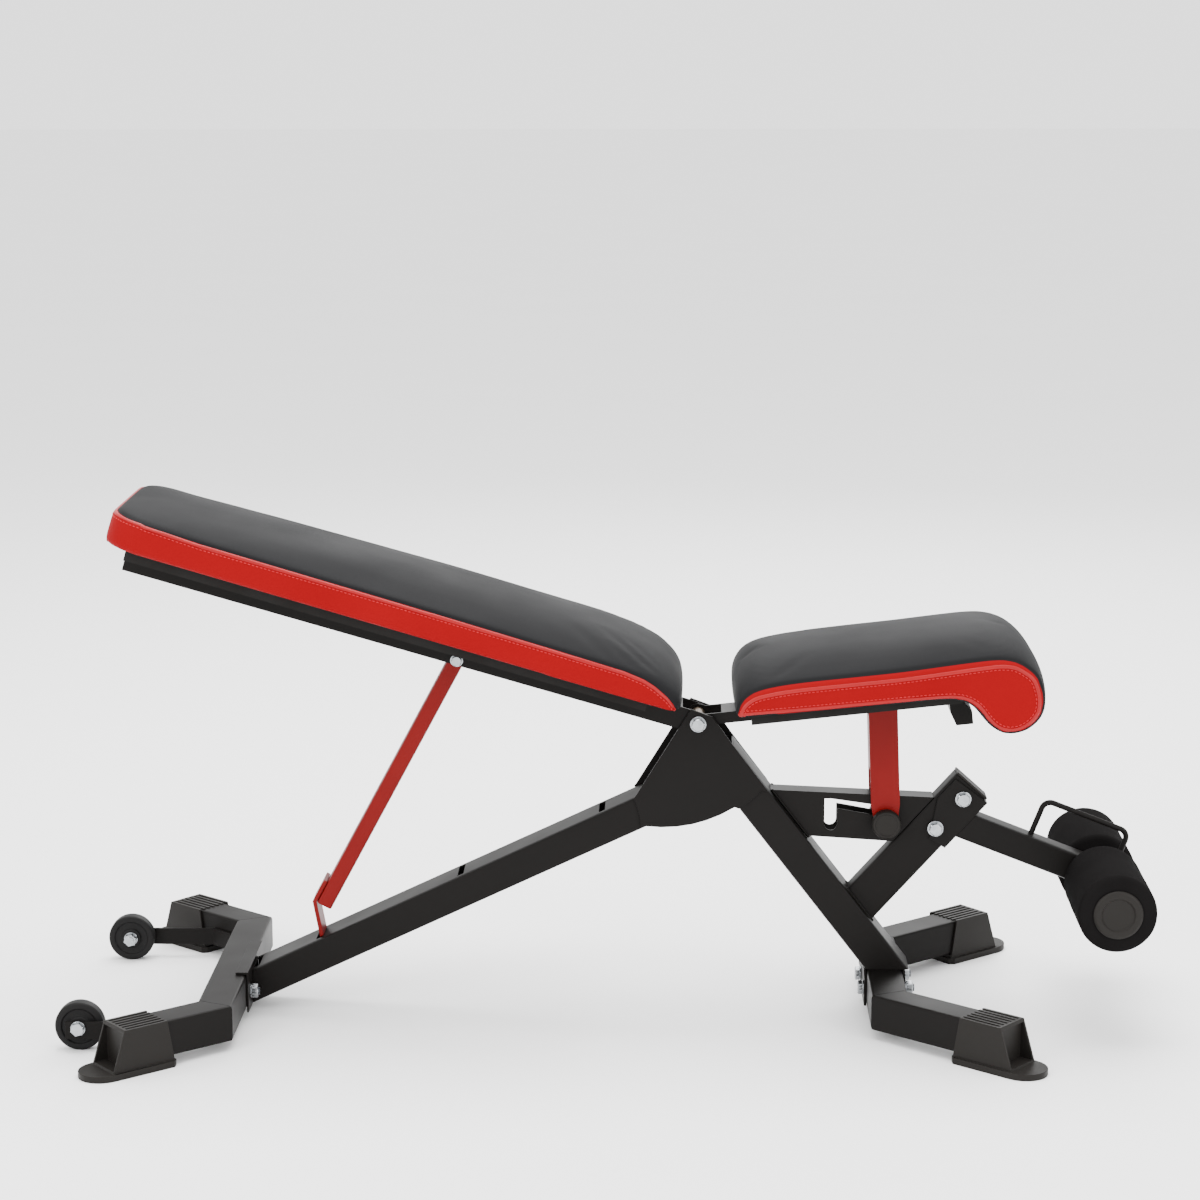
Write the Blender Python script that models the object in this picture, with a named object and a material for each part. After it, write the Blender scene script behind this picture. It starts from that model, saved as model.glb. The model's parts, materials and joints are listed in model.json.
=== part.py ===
"""Adjustable decline sit-up bench: a welded tube frame on two splayed stabilisers, a hinged back pad held
by a drop-in strut, a hinged seat pad on a slotted link, and a bolted hold-down arm with two foam rollers.

Metres and radians. +X is the roller end, +Y the left side, +Z up; the floor is z = 0.
Side-view outlines are (x, z) pairs.
"""

import math

import bmesh
import bpy
from mathutils import Matrix, Vector

# Clearances
WELD_GAP = 0.0003
RUNNING_GAP = 0.0005
BOLT_GAP = 0.0004

# Legs and brace: box tubes that lie along the middle plane
LEG_WIDTH = 0.060
TUBE_WALL = 0.002
TUBE_CORNER = 0.004
REAR_LEG_DEPTH = 0.040
REAR_LEG_ANGLE = math.radians(25.1)
REAR_LEG_HEEL = (-0.448, 0.008)
FRONT_LEG_DEPTH = 0.0435
FRONT_LEG_ANGLE = math.radians(-52.4)
FRONT_LEG_HEEL = (0.3245, 0.0585)
FRONT_LEG_TOP = 0.345
BRACE_WIDTH = 0.030
BRACE_DEPTH = 0.050
BRACE_ANGLE = math.radians(48.2)
BRACE_LOW_POINT = (0.418, 0.212)
BRACE_REACH = 0.083

# Stabilisers
BAR_SIZE = 0.045
BAR_BOTTOM = 0.012
SPLAY = math.radians(40)
REAR_BAR_X = -0.4735
REAR_BAR_HALF = 0.1772
REAR_ARM_LENGTH = 0.133
FRONT_BAR_X = 0.3495
FRONT_BAR_HALF = 0.1207
FRONT_ARM_LENGTH = 0.174

# Foot caps
CAP_WALL = 0.003
CAP_SLEEVE = 0.052
CAP_SLANT = 0.019
CAP_HEEL = 0.009
CAP_BASE = 0.008
CAP_LIP = 0.0035
CAP_TOE = 0.030
CAP_RIBS = 6
CAP_RIB_HEIGHT = 0.0012
CAP_RECESS = 0.016
CAP_DISC_RADIUS = 0.016
CAP_DISC_HEIGHT = 0.0008

# Plates and fasteners
PLATE = 0.003
BOLT_RADIUS = 0.005
WASHER_RADIUS = 0.010
WASHER = 0.0015
NUT_TO_BOLT = 1.5  # half a nut's width across its flats over its bolt's radius
NUT = 0.008
HEAD = 0.006
BOLT_SIDES = 12

# Transport wheels
WHEEL_RADIUS = 0.030
WHEEL_WIDTH = 0.020
WHEEL_X = -0.638
WHEEL_OUTSET = 0.0028  # from the crossbar's end to a wheel's middle
WHEEL_Y = REAR_BAR_HALF + WHEEL_OUTSET
WHEEL_PLATE = 0.004
WHEEL_PLATE_HEIGHT = 0.022
WHEEL_PLATE_TAIL = 0.036

# Main hinge
PIVOT = (0.114, 0.374)
GUSSET_INSET = 0.0003
LUG_RADIUS = 0.0135
SLEEVE_RADIUS = 0.0095

# Back pad, measured from the main pivot along and across the back
BACK_ANGLE = math.radians(16.3)
BACK_CHANNEL_HALF = 0.029
BACK_CHANNEL_HEIGHT = 0.030
BACK_CHANNEL_DROP = 0.0158
BACK_FRAME_REACH = 0.737
BACK_WEB_START = 0.024
BOARD = 0.012
BOARD_WIDTH = 0.222
BACK_BOARD_REACH = 0.728
BACK_BOARD_START = 0.072
PAD_WIDTH = 0.264
BACK_PAD_REACH = 0.757
BACK_PAD_START = 0.031
BACK_PAD_SIDE = 0.037
BACK_PAD_CROWN = 0.023
BACK_SCREWS = (0.625, 0.085)

# Strut that drops into the rear leg's slots
STRUT_WIDTH = 0.040
STRUT_DEPTH = 0.020
STRUT_PIVOT = (-0.3092, -0.0081)
STRUT_LEAN = math.radians(28.3)
STRUT_LENGTH = 0.363
STRUT_BOLT_RADIUS = 0.004
STRUT_BUSH_RADIUS = 0.0065
TONGUE = 0.005
TONGUE_WIDTH = 0.037
TONGUE_LAP = 0.030
TONGUE_TURN = math.radians(38.8)
SLOT_PLACES = (-0.444, -0.3635, -0.184, -0.006)
SLOT_WIDTH = 0.042
SLOT_LENGTH = 0.0085

# Seat pad, measured from the main pivot along and across the seat
SEAT_ANGLE = math.radians(-6.3)
SEAT_CHANNEL_HALF = 0.0255
SEAT_CHANNEL_HEIGHT = 0.0140
SEAT_CHANNEL_DROP = 0.0041
SEAT_FRAME_REACH = 0.328
SEAT_WEB_START = 0.030
SEAT_BOARD_START = 0.066
SEAT_BOARD_REACH = 0.322
SEAT_PAD_START = 0.046
SEAT_PAD_SIDE = 0.034
SEAT_PAD_CROWN = 0.030
BOLSTER_RADIUS = 0.044
BOLSTER_PLACE = (0.377, 0.014)
STOP_TOP = (0.312, 0.331)
STOP_FOOT = (0.318, 0.339)
STOP_DROP = 0.034
STOP_STEP = 0.017

# Seat link and its slotted bracket
LINK_HALF = 0.0213
LINK_PLATE = 0.003
LINK_WIDTH = 0.036
LINK_PIVOT = (0.2303, -0.0013)
LINK_TOP_RADIUS = 0.010
LINK_SHOULDER = 0.004
LINK_FOOT = (0.349, 0.246)
LINK_BOLT_RADIUS = 0.004
KNOB_RADIUS = 0.018
KNOB_THICKNESS = 0.014
PIN_RADIUS = 0.006
BRACKET_HALF = 0.015
BRACKET_TOP_LEFT = (0.205, 0.286)
BRACKET_TOP_RIGHT = (0.410, 0.277)
BRACKET_LOW_LEFT = (0.251, 0.227)
BRACKET_LOW_RIGHT = (0.362, 0.220)
SLOT_HALF = 0.008
LOW_POCKET = (0.2805, 0.242)
RUN_START = (0.2805, 0.270)
RUN_END = (0.346, 0.258)

# Hold-down arm with its rollers and handle
ARM_SIZE = 0.035
ARM_ANGLE = math.radians(-21.3)
ARM_TOP_POINT = (0.465, 0.253)
ARM_END_X = 0.645
HOLD_BOLTS = ((0.445, 0.276), (0.411, 0.238))
HOLD_BASE_START = 0.004
HOLD_BASE_LENGTH = 0.078
HOLD_FLANGE = 0.047
ROLLER_AXIS = (0.620, 0.171)
ROLLER_RADIUS = 0.048
ROLLER_START = 0.022
ROLLER_END = 0.1645
ROLLER_BORE = 0.0135
AXLE_RADIUS = 0.010
ROLLER_CAP_RADIUS = 0.030
ROLLER_CAP_DISH = 0.019
ROLLER_CAP = 0.004
HANDLE_ROD = 0.0035
HANDLE_START = 0.072
HANDLE_SPAN = 0.113
HANDLE_HEIGHT = 0.047
HANDLE_BEND = 0.011


def clear_scene():
    for thing in list(bpy.data.objects):
        bpy.data.objects.remove(thing)


def finish_material(name, colour, roughness, metallic=0.0):
    material = bpy.data.materials.new(name)
    material.use_nodes = True
    shader = material.node_tree.nodes["Principled BSDF"]
    shader.inputs["Base Color"].default_value = (*colour, 1.0)
    shader.inputs["Roughness"].default_value = roughness
    shader.inputs["Metallic"].default_value = metallic
    material.diffuse_color = (*colour, 1.0)
    return material


def object_from(mesh_maker, name, material, parent=None):
    """Turn a bmesh into a named object, with its faces out and its round sides shaded smooth."""
    bmesh.ops.recalc_face_normals(mesh_maker, faces=mesh_maker.faces)
    mesh = bpy.data.meshes.new(name)
    mesh_maker.to_mesh(mesh)
    mesh_maker.free()
    mesh.shade_smooth()
    mesh.set_sharp_from_angle(angle=math.radians(35))
    mesh.materials.append(material)
    made = bpy.data.objects.new(name, mesh)
    bpy.context.scene.collection.objects.link(made)
    made.parent = parent
    return made


def hinge_point(name, place, turn=0.0, parent=None):
    """An empty on a joint's axis, at (x, z) in the middle plane or at (x, y, z), turned about +Y."""
    empty = bpy.data.objects.new(name, None)
    bpy.context.scene.collection.objects.link(empty)
    empty.parent = parent
    empty.location = place if len(place) == 3 else (place[0], 0, place[1])
    empty.rotation_euler = (0, turn, 0)
    return empty


def bridge(maker, loops, cap_ends=True, closed=False):
    """Join loops of equal length with quads."""
    rings = [[maker.verts.new(point) for point in loop] for loop in loops]
    pairs = list(zip(rings, rings[1:]))
    if closed:
        pairs.append((rings[-1], rings[0]))
    for low, high in pairs:
        for i in range(len(low)):
            j = (i + 1) % len(low)
            maker.faces.new((low[i], low[j], high[j], high[i]))
    if cap_ends and not closed:
        maker.faces.new(list(reversed(rings[0])))
        maker.faces.new(rings[-1])


LAYOUTS = {
    "side": lambda a, b, depth: (a, depth, b),
    "plan": lambda a, b, depth: (a, b, depth),
    "front": lambda a, b, depth: (depth, a, b),
}


def slab(name, outline, low, high, material, parent=None, view="side"):
    """Extrude a flat outline from low to high, square to its view."""
    place = LAYOUTS[view]
    maker = bmesh.new()
    bridge(maker, [[place(a, b, depth) for a, b in outline] for depth in (low, high)])
    return object_from(maker, name, material, parent)


def hidden(cutter):
    cutter.hide_render = True
    cutter.display_type = "WIRE"
    return cutter


def boolean(target, other, operation="DIFFERENCE"):
    change = target.modifiers.new(other.name, "BOOLEAN")
    change.operation = operation
    change.solver = "EXACT"
    change.object = hidden(other)


def round_shape(turn):
    """A circle keeps its radius at every turn."""
    return 1.0


def hex_shape(turn):
    """Distance to a hexagon's side over its half width, at this turn."""
    return 1 / math.cos((turn + math.pi / 6) % (math.pi / 3) - math.pi / 6)


AXES = {
    "x": lambda along, a, b: (along, a, b),
    "y": lambda along, a, b: (a, along, b),
    "z": lambda along, a, b: (a, b, along),
}


def turned(name, profile, centre, axis, sides, material, parent=None, closed=False):
    """Revolve (radius, along[, shape]) steps about an axis through centre. A zero radius makes a point."""
    maker = bmesh.new()
    place = AXES[axis]
    rings = []
    for step in profile:
        radius, along = step[0], step[1]
        shape = step[2] if len(step) > 2 else round_shape
        if radius == 0:
            rings.append([maker.verts.new(Vector(centre) + Vector(place(along, 0, 0)))])
            continue
        ring = []
        for i in range(sides):
            turn = 2 * math.pi * i / sides
            reach = radius * shape(turn)
            offset = place(along, reach * math.cos(turn), reach * math.sin(turn))
            ring.append(maker.verts.new(Vector(centre) + Vector(offset)))
        rings.append(ring)
    pairs = list(zip(rings, rings[1:]))
    if closed:
        pairs.append((rings[-1], rings[0]))
    for low, high in pairs:
        for i in range(sides):
            j = (i + 1) % sides
            corners = [low[i % len(low)], low[j % len(low)], high[j % len(high)], high[i % len(high)]]
            maker.faces.new(list(dict.fromkeys(corners)))
    return object_from(maker, name, material, parent)


def rod_cutter(name, centre, axis, radius, half_length, sides=16, parent=None):
    profile = [(0, -half_length), (radius, -half_length), (radius, half_length), (0, half_length)]
    return turned(name, profile, centre, axis, sides, None, parent)


def bolt(name, centre, axis, start, end, radius, material, parent=None, washer=WASHER_RADIUS):
    """A hex bolt from the outer face of its head's washer at start to its nut's at end, with both washers."""
    way = 1 if end > start else -1
    nut_half = radius * NUT_TO_BOLT
    profile = [
        (0, start - way * (WASHER + HEAD)),
        (nut_half, start - way * (WASHER + HEAD), hex_shape),
        (nut_half, start - way * WASHER, hex_shape),
        (washer, start - way * WASHER),
        (washer, start),
        (radius, start),
        (radius, end),
        (washer, end),
        (washer, end + way * WASHER),
        (nut_half, end + way * WASHER, hex_shape),
        (nut_half, end + way * (WASHER + NUT), hex_shape),
        (radius, end + way * (WASHER + NUT)),
        (radius, end + way * (WASHER + NUT + 0.002)),
        (0, end + way * (WASHER + NUT + 0.002)),
    ]
    return turned(name, profile, centre, axis, BOLT_SIDES, material, parent)


class Line:
    """A straight line in the side view."""

    def __init__(self, point, angle):
        self.point = Vector(point)
        self.along = Vector((math.cos(angle), math.sin(angle)))
        self.angle = angle

    @classmethod
    def through(cls, first, second):
        step = Vector(second) - Vector(first)
        return cls(first, math.atan2(step.y, step.x))

    def moved(self, distance):
        """The parallel line this far to the left of its direction."""
        side = Vector((-self.along.y, self.along.x))
        return Line(self.point + side * distance, self.angle)

    def at(self, distance):
        return self.point + self.along * distance

    def height(self, x):
        return self.point.y + (x - self.point.x) * math.tan(self.angle)

    def meet(self, other):
        cross = self.along.cross(other.along)
        return self.at((other.point - self.point).cross(other.along) / cross)


def arc(centre, radius, start, end, steps):
    """Points of a circle from one angle to another, both ends included."""
    turns = [start + (end - start) * i / steps for i in range(steps + 1)]
    return [(centre[0] + radius * math.cos(t), centre[1] + radius * math.sin(t)) for t in turns]


def bowed(first, last, bulge, steps):
    """A shallow arc between two points that stands off their chord by bulge, to the left."""
    chord = Vector(last) - Vector(first)
    side = Vector((-chord.y, chord.x)).normalized()
    shares = [i / steps for i in range(steps + 1)]
    return [tuple(Vector(first) + chord * s + side * 4 * bulge * s * (1 - s)) for s in shares]


def rounded_box(half_a, half_b, corner, steps=2):
    points = []
    for sign_a, sign_b, start in ((1, 1, 0), (-1, 1, 90), (-1, -1, 180), (1, -1, 270)):
        centre = (sign_a * (half_a - corner), sign_b * (half_b - corner))
        points += arc(centre, corner, math.radians(start), math.radians(start + 90), steps)
    return points


def box_tube(name, centre, along, side, sizes, cuts, material, parent=None, corner=TUBE_CORNER):
    """A hollow box tube. sizes are across (side x along) and along side; cuts are two (point, normal) planes."""
    centre, along, side = Vector(centre), Vector(along).normalized(), Vector(side).normalized()
    across = side.cross(along)

    def loop(grow, plane):
        point, normal = Vector(plane[0]), Vector(plane[1])
        places = []
        for a, b in rounded_box(sizes[0] / 2 - grow, sizes[1] / 2 - grow, max(corner - grow, 0.0015)):
            start = centre + across * a + side * b
            places.append(start + along * ((point - start).dot(normal) / along.dot(normal)))
        return places

    maker = bmesh.new()
    first, last = cuts
    loops = [loop(0, first), loop(0, last), loop(TUBE_WALL, last), loop(TUBE_WALL, first)]
    bridge(maker, loops, closed=True)
    return object_from(maker, name, material, parent)


def side_cut(line):
    """The plane square to the side view that holds this line."""
    return ((line.point.x, 0, line.point.y), (-line.along.y, 0, line.along.x))


def leg_tube(name, lower_line, depth, width, start_line, end_line, material):
    """A box tube in the middle plane, standing on its lower line."""
    middle = lower_line.moved(depth / 2)
    centre = (middle.point.x, 0, middle.point.y)
    along = (middle.along.x, 0, middle.along.y)
    cuts = (side_cut(start_line), side_cut(end_line))
    return box_tube(name, centre, along, (0, 1, 0), (depth, width), cuts, material)


# Side-view lines that several pieces share
REAR_LEG_LOWER = Line(REAR_LEG_HEEL, REAR_LEG_ANGLE)
REAR_LEG_UPPER = REAR_LEG_LOWER.moved(REAR_LEG_DEPTH)
FRONT_LEG_LOWER = Line(FRONT_LEG_HEEL, FRONT_LEG_ANGLE)
FRONT_LEG_UPPER = FRONT_LEG_LOWER.moved(FRONT_LEG_DEPTH)
BRACE_LOWER = Line(BRACE_LOW_POINT, BRACE_ANGLE)
BRACE_UPPER = BRACE_LOWER.moved(BRACE_DEPTH)
BRACE_END = Line(BRACE_LOWER.at(BRACE_REACH), BRACE_ANGLE + math.pi / 2)
ARM_UPPER = Line(ARM_TOP_POINT, ARM_ANGLE)
ARM_LOWER = ARM_UPPER.moved(-ARM_SIZE)
BAR_TOP = BAR_BOTTOM + BAR_SIZE
PLATE_OUTER = LEG_WIDTH / 2 + GUSSET_INSET + PLATE


def build_legs(steel):
    rear_end = FRONT_LEG_LOWER.moved(-WELD_GAP)
    heel_cut = Line(REAR_LEG_HEEL, math.pi / 2)
    rear = leg_tube("rear_leg_tube", REAR_LEG_LOWER, REAR_LEG_DEPTH, LEG_WIDTH, heel_cut, rear_end, steel)
    for number, place in enumerate(SLOT_PLACES, 1):
        centre = Line((place, REAR_LEG_UPPER.height(place)), REAR_LEG_ANGLE)
        outline = [centre.moved(side).at(end) for side, end in slot_corners()]
        cutter = slab(f"slot_cutter_{number}", outline, -SLOT_WIDTH / 2, SLOT_WIDTH / 2, None)
        boolean(rear, cutter)
    low_cut = Line((0, BAR_TOP + WELD_GAP), 0)
    high_cut = Line((0, FRONT_LEG_TOP), 0)
    leg_tube("front_leg_tube", FRONT_LEG_LOWER, FRONT_LEG_DEPTH, LEG_WIDTH, high_cut, low_cut, steel)
    foot = FRONT_LEG_UPPER.moved(WELD_GAP)
    return leg_tube("brace_tube", BRACE_LOWER, BRACE_DEPTH, BRACE_WIDTH, foot, BRACE_END, steel)


def slot_corners():
    half = SLOT_LENGTH / 2
    return ((0.010, -half), (0.010, half), (-0.010, half), (-0.010, -half))



def drill(target, name, centre, radius, half_length, axis="y", sides=16):
    """Cut a round hole through target, drawn in target's own frame."""
    boolean(target, rod_cutter(name, centre, axis, radius, half_length, sides, target.parent))


def build_gussets(steel):
    """The two side plates that join the legs and carry the main hinge."""
    top_left = (0.105, 0.393)
    top_right = (0.132, 0.383)
    outline = [(0.036, 0.281), top_left, top_right, (0.156, 0.349), (0.202, 0.288)]
    outline += bowed((0.193, 0.290), (0.165, 0.266), 0.002, 3)
    outline += bowed((0.160, 0.268), (0.049, 0.243), 0.010, 6)
    outline += bowed((0.043, 0.241), (0.034, 0.279), -0.002, 3)
    outline.reverse()
    for name, side in (("gusset_plate_left", 1), ("gusset_plate_right", -1)):
        inner = side * (LEG_WIDTH / 2 + GUSSET_INSET)
        plate = slab(name, outline, inner, side * PLATE_OUTER, steel)
        centre = (PIVOT[0], side * PLATE_OUTER, PIVOT[1])
        drill(plate, name + "_bolt_hole", centre, BOLT_RADIUS + BOLT_GAP, 2 * PLATE)


def channel(name, outline, half_width, wall, hollow, material, parent=None):
    """A folded plate: a side outline with its inside taken out between two walls."""
    body = slab(name, outline, -half_width, half_width, material, parent)
    inner = half_width - wall
    boolean(body, slab(name + "_inside", hollow, -inner, inner, None, parent))
    return body


def build_slot_bracket(steel):
    """The folded bracket between the front leg and the brace, with an L-shaped slot in each wall."""
    left = FRONT_LEG_UPPER.moved(WELD_GAP)
    right = BRACE_UPPER.moved(WELD_GAP)
    top = Line.through(BRACKET_TOP_LEFT, BRACKET_TOP_RIGHT)
    bottom = Line.through(BRACKET_LOW_LEFT, BRACKET_LOW_RIGHT)
    corners = [top.meet(left), top.meet(right), bottom.meet(right), bottom.meet(left)]
    under = top.moved(-PLATE)
    hollow = [under.at(-0.1), under.at(0.4), bottom.moved(-0.03).at(0.3), bottom.moved(-0.03).at(-0.1)]
    bracket = channel("seat_slot_bracket", corners, BRACKET_HALF, PLATE, hollow, steel)
    run = Line.through(RUN_START, RUN_END)
    pocket = SLOT_HALF
    high_right = (LINK_FOOT[0] + pocket, run.moved(pocket).height(LINK_FOOT[0] + pocket))
    outline = arc(LOW_POCKET, pocket, math.pi, 2 * math.pi, 6)
    outline += [(LOW_POCKET[0] + pocket, run.moved(-pocket * 0.75).height(LOW_POCKET[0] + pocket))]
    outline += [(LINK_FOOT[0] - pocket, run.moved(-pocket * 0.75).height(LINK_FOOT[0] - pocket))]
    outline += arc(LINK_FOOT, pocket, math.pi, 2 * math.pi, 6)
    outline += [high_right, (LOW_POCKET[0], 0.275), (LOW_POCKET[0] - pocket, 0.275)]
    boolean(bracket, slab("bracket_slot_cutter", outline, -0.03, 0.03, None))


def stabiliser(end, bar_x, bar_half, arm_length, way, steel, plastic):
    """A crossbar and two splayed arms, mitred where they meet, with a cap on each arm."""
    height = BAR_BOTTOM + BAR_SIZE / 2
    cuts = []
    for side in (-1, 1):
        heading = Vector((way * math.cos(SPLAY), side * math.sin(SPLAY), 0))
        normal = (heading + Vector((0, side, 0))).normalized()
        node = Vector((bar_x, side * bar_half, height))
        cuts.append((node - normal * WELD_GAP / 2, normal))
        hand = "left" if side > 0 else "right"
        start = (node + normal * WELD_GAP / 2, normal)
        stop = (node + heading * arm_length, heading)
        name = f"{end}_arm_{hand}"
        sizes = (BAR_SIZE, BAR_SIZE)
        box_tube(name, node, heading, heading.cross((0, 0, 1)), sizes, (start, stop), steel)
        foot_cap(f"{end}_foot_cap_{hand}", node + heading * arm_length, heading, plastic)
    bar = box_tube(
        f"{end}_crossbar", (bar_x, 0, height), (0, 1, 0), (1, 0, 0), (BAR_SIZE, BAR_SIZE), cuts, steel
    )
    return bar


def foot_cap(name, tube_end, heading, plastic):
    """A moulded cap: a ribbed sleeve over the arm's end, two side fins and a D-shaped sole."""
    half = BAR_SIZE / 2 + CAP_WALL
    top = BAR_TOP + CAP_WALL - 0.0015
    sole_end = CAP_SLANT + 0.004
    start = -CAP_SLEEVE
    spot = hinge_point(name + "_place", (tube_end.x, tube_end.y, 0))
    spot.rotation_euler = (0, 0, math.atan2(heading.y, heading.x))
    side = [(start, top), (start - CAP_HEEL, CAP_BASE - 0.001), (sole_end, CAP_BASE - 0.001), (0.006, top)]
    body = slab(name, side, -half, half, plastic, spot)
    lip = half + CAP_LIP
    sole = [(start - CAP_HEEL - 0.003, -lip + 0.006), (start - CAP_HEEL + 0.003, -lip)]
    sole += [(sole_end + CAP_TOE * math.sin(t), -lip * math.cos(t)) for t in half_turn(12)]
    sole += [(start - CAP_HEEL + 0.003, lip), (start - CAP_HEEL - 0.003, lip - 0.006)]
    boolean(body, slab(name + "_sole", sole, 0, CAP_BASE, None, spot, "plan"), "UNION")
    inner = BAR_SIZE / 2 + WELD_GAP
    mouth = [(-inner, BAR_BOTTOM - WELD_GAP), (inner, BAR_BOTTOM - WELD_GAP)]
    mouth += [(inner, BAR_TOP + WELD_GAP), (-inner, BAR_TOP + WELD_GAP)]
    low_end = start - CAP_HEEL - 0.02
    boolean(body, slab(name + "_mouth", mouth, low_end, WELD_GAP, None, spot, "front"))
    recess_back = WELD_GAP + CAP_WALL
    recess_top = top - 0.004
    recess = [(recess_back, recess_top), (recess_back, CAP_BASE + 0.002), (0.06, CAP_BASE + 0.002)]
    recess += [(0.06, recess_top)]
    fin = half - CAP_WALL
    boolean(body, slab(name + "_recess", recess, -fin, fin, None, spot))
    pitch = 2 * half / (CAP_RIBS + 0.5)
    for rib in range(CAP_RIBS):
        middle = (rib - (CAP_RIBS - 1) / 2) * pitch
        groove = [(start - 0.01, middle - pitch * 0.22), (0.002, middle - pitch * 0.22)]
        groove += [(0.002, middle + pitch * 0.22), (start - 0.01, middle + pitch * 0.22)]
        low = top - CAP_RIB_HEIGHT
        boolean(body, slab(f"{name}_groove_{rib}", groove, low, top + 0.002, None, spot, "plan"))
    return body


def half_turn(steps):
    """Half a turn in equal steps, both ends included."""
    return [math.pi * i / steps for i in range(steps + 1)]


def build_rear_mount(steel, zinc, rear_bar):
    """The folded bracket on the rear crossbar and the two bolts beside the leg."""
    face = REAR_BAR_X + BAR_SIZE / 2
    inner = face + WELD_GAP
    outer = REAR_LEG_HEEL[0] - WELD_GAP
    lid = BAR_TOP + WELD_GAP
    outline = [(inner, 0.008), (outer, 0.008), (outer, lid + PLATE), (face - 0.013, lid + PLATE)]
    outline += [(face - 0.013, lid), (inner, lid)]
    half = 0.067
    bracket = slab("rear_mount_bracket", outline, -half, half, steel)
    for hand, side in (("left", 1), ("right", -1)):
        centre = (face, side * 0.046, 0.030)
        name = f"rear_stabiliser_bolt_{hand}"
        radius = BOLT_RADIUS + BOLT_GAP
        drill(bracket, name + "_bracket_hole", centre, radius, 0.012, "x", 12)
        drill(rear_bar, name + "_bar_hole", (REAR_BAR_X, *centre[1:]), radius, 0.06, "x", 12)
        start = REAR_BAR_X - BAR_SIZE / 2 - WELD_GAP
        bolt(name, (0, *centre[1:]), "x", start, outer + WELD_GAP, BOLT_RADIUS, zinc, washer=0.009)


def build_front_mount(steel, zinc, front_bar):
    """The two saddle plates on the front crossbar, welded to the leg's foot, and their bolts."""
    near = FRONT_BAR_X - BAR_SIZE / 2 - WELD_GAP
    far = FRONT_BAR_X + BAR_SIZE / 2 + WELD_GAP
    half = 0.040
    wide = [(-half, 0.013), (half, 0.013), (half, 0.048), (0.028, BAR_TOP), (-0.028, BAR_TOP), (-half, 0.048)]
    narrow = [(-half, 0.026), (half, 0.026), (half, 0.050), (0.032, BAR_TOP), (-0.032, BAR_TOP), (-half, 0.050)]
    inner = slab("front_saddle_plate_inner", wide, near - PLATE, near, steel, view="front")
    outer = slab("front_saddle_plate_outer", narrow, far, far + PLATE, steel, view="front")
    for hand, side in (("left", 1), ("right", -1)):
        centre = (FRONT_BAR_X, side * 0.029, 0.034)
        name = f"front_stabiliser_bolt_{hand}"
        for target in (inner, front_bar, outer):
            drill(target, f"{name}_{target.name}_hole", centre, BOLT_RADIUS + BOLT_GAP, 0.06, "x", 12)
        start = near - PLATE - WELD_GAP
        bolt(name, (0, *centre[1:]), "x", start, far + PLATE + WELD_GAP, BOLT_RADIUS, zinc, washer=0.009)


def build_wheels(steel, rubber, zinc):
    """A flat plate welded to each rear arm, with a bolt that carries a small wheel."""
    for hand, side in (("left", 1), ("right", -1)):
        plate_y = WHEEL_Y + WHEEL_WIDTH / 2 + 0.001
        reach = BAR_SIZE / 2 + WELD_GAP
        heading = Vector((-math.cos(SPLAY), math.sin(SPLAY)))
        inner = Vector((-math.sin(SPLAY), -math.cos(SPLAY)))
        face = Line(Vector((REAR_BAR_X, REAR_BAR_HALF)) + inner * reach, math.atan2(heading.y, heading.x))
        back = face.moved(WHEEL_PLATE)
        outer_side = Line((0, plate_y + WHEEL_PLATE), 0)
        inner_side = Line((0, plate_y), 0)
        bend = face.meet(outer_side)
        tail = face.along * WHEEL_PLATE_TAIL
        tip = WHEEL_X - 0.016
        outline = [(tip, plate_y), (tip, plate_y + WHEEL_PLATE), bend, bend - tail]
        outline += [bend - tail + Vector((-face.along.y, face.along.x)) * WHEEL_PLATE, back.meet(inner_side)]
        outline = [(x, y * side) for x, y in outline]
        low = WHEEL_RADIUS - WHEEL_PLATE_HEIGHT + 0.008
        plate = slab(f"wheel_plate_{hand}", outline, low, low + WHEEL_PLATE_HEIGHT, steel, view="plan")
        axle = (WHEEL_X, side * plate_y, WHEEL_RADIUS)
        drill(plate, f"wheel_plate_hole_{hand}", axle, BOLT_RADIUS + BOLT_GAP, 0.02)
        outer = plate_y + WHEEL_PLATE + WELD_GAP
        inside = WHEEL_Y - WHEEL_WIDTH / 2 - 0.001
        bolt(f"wheel_bolt_{hand}", (WHEEL_X, 0, WHEEL_RADIUS), "y", side * outer, side * inside,
             BOLT_RADIUS, zinc, washer=0.009)
        spot = hinge_point(f"wheel_axis_{hand}", (WHEEL_X, side * WHEEL_Y, WHEEL_RADIUS))
        half = WHEEL_WIDTH / 2
        bore = BOLT_RADIUS + RUNNING_GAP
        profile = [(bore, -half), (0.012, -half), (0.013, -half + 0.003), (0.022, -half + 0.003)]
        profile += [(0.024, -half + 0.001), (WHEEL_RADIUS - 0.001, -half + 0.001), (WHEEL_RADIUS, -half + 0.003)]
        mirror = [(radius, -along) for radius, along in reversed(profile)]
        turned(f"wheel_{hand}", profile + mirror, (0, 0, 0), "y", 24, rubber, spot, closed=True)


def build_main_hinge(zinc, brass):
    start = -PLATE_OUTER - WELD_GAP
    bolt("main_pivot_bolt", (PIVOT[0], 0, PIVOT[1]), "y", start, -start, BOLT_RADIUS, zinc)
    spot = hinge_point("main_hinge", PIVOT)
    half = SEAT_CHANNEL_HALF - PLATE - 0.0008
    bore = BOLT_RADIUS + RUNNING_GAP
    tube = [(bore, -half), (SLEEVE_RADIUS, -half), (SLEEVE_RADIUS, half), (bore, half)]
    turned("pivot_sleeve", tube, (0, 0, 0), "y", 20, brass, spot, closed=True)


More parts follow.
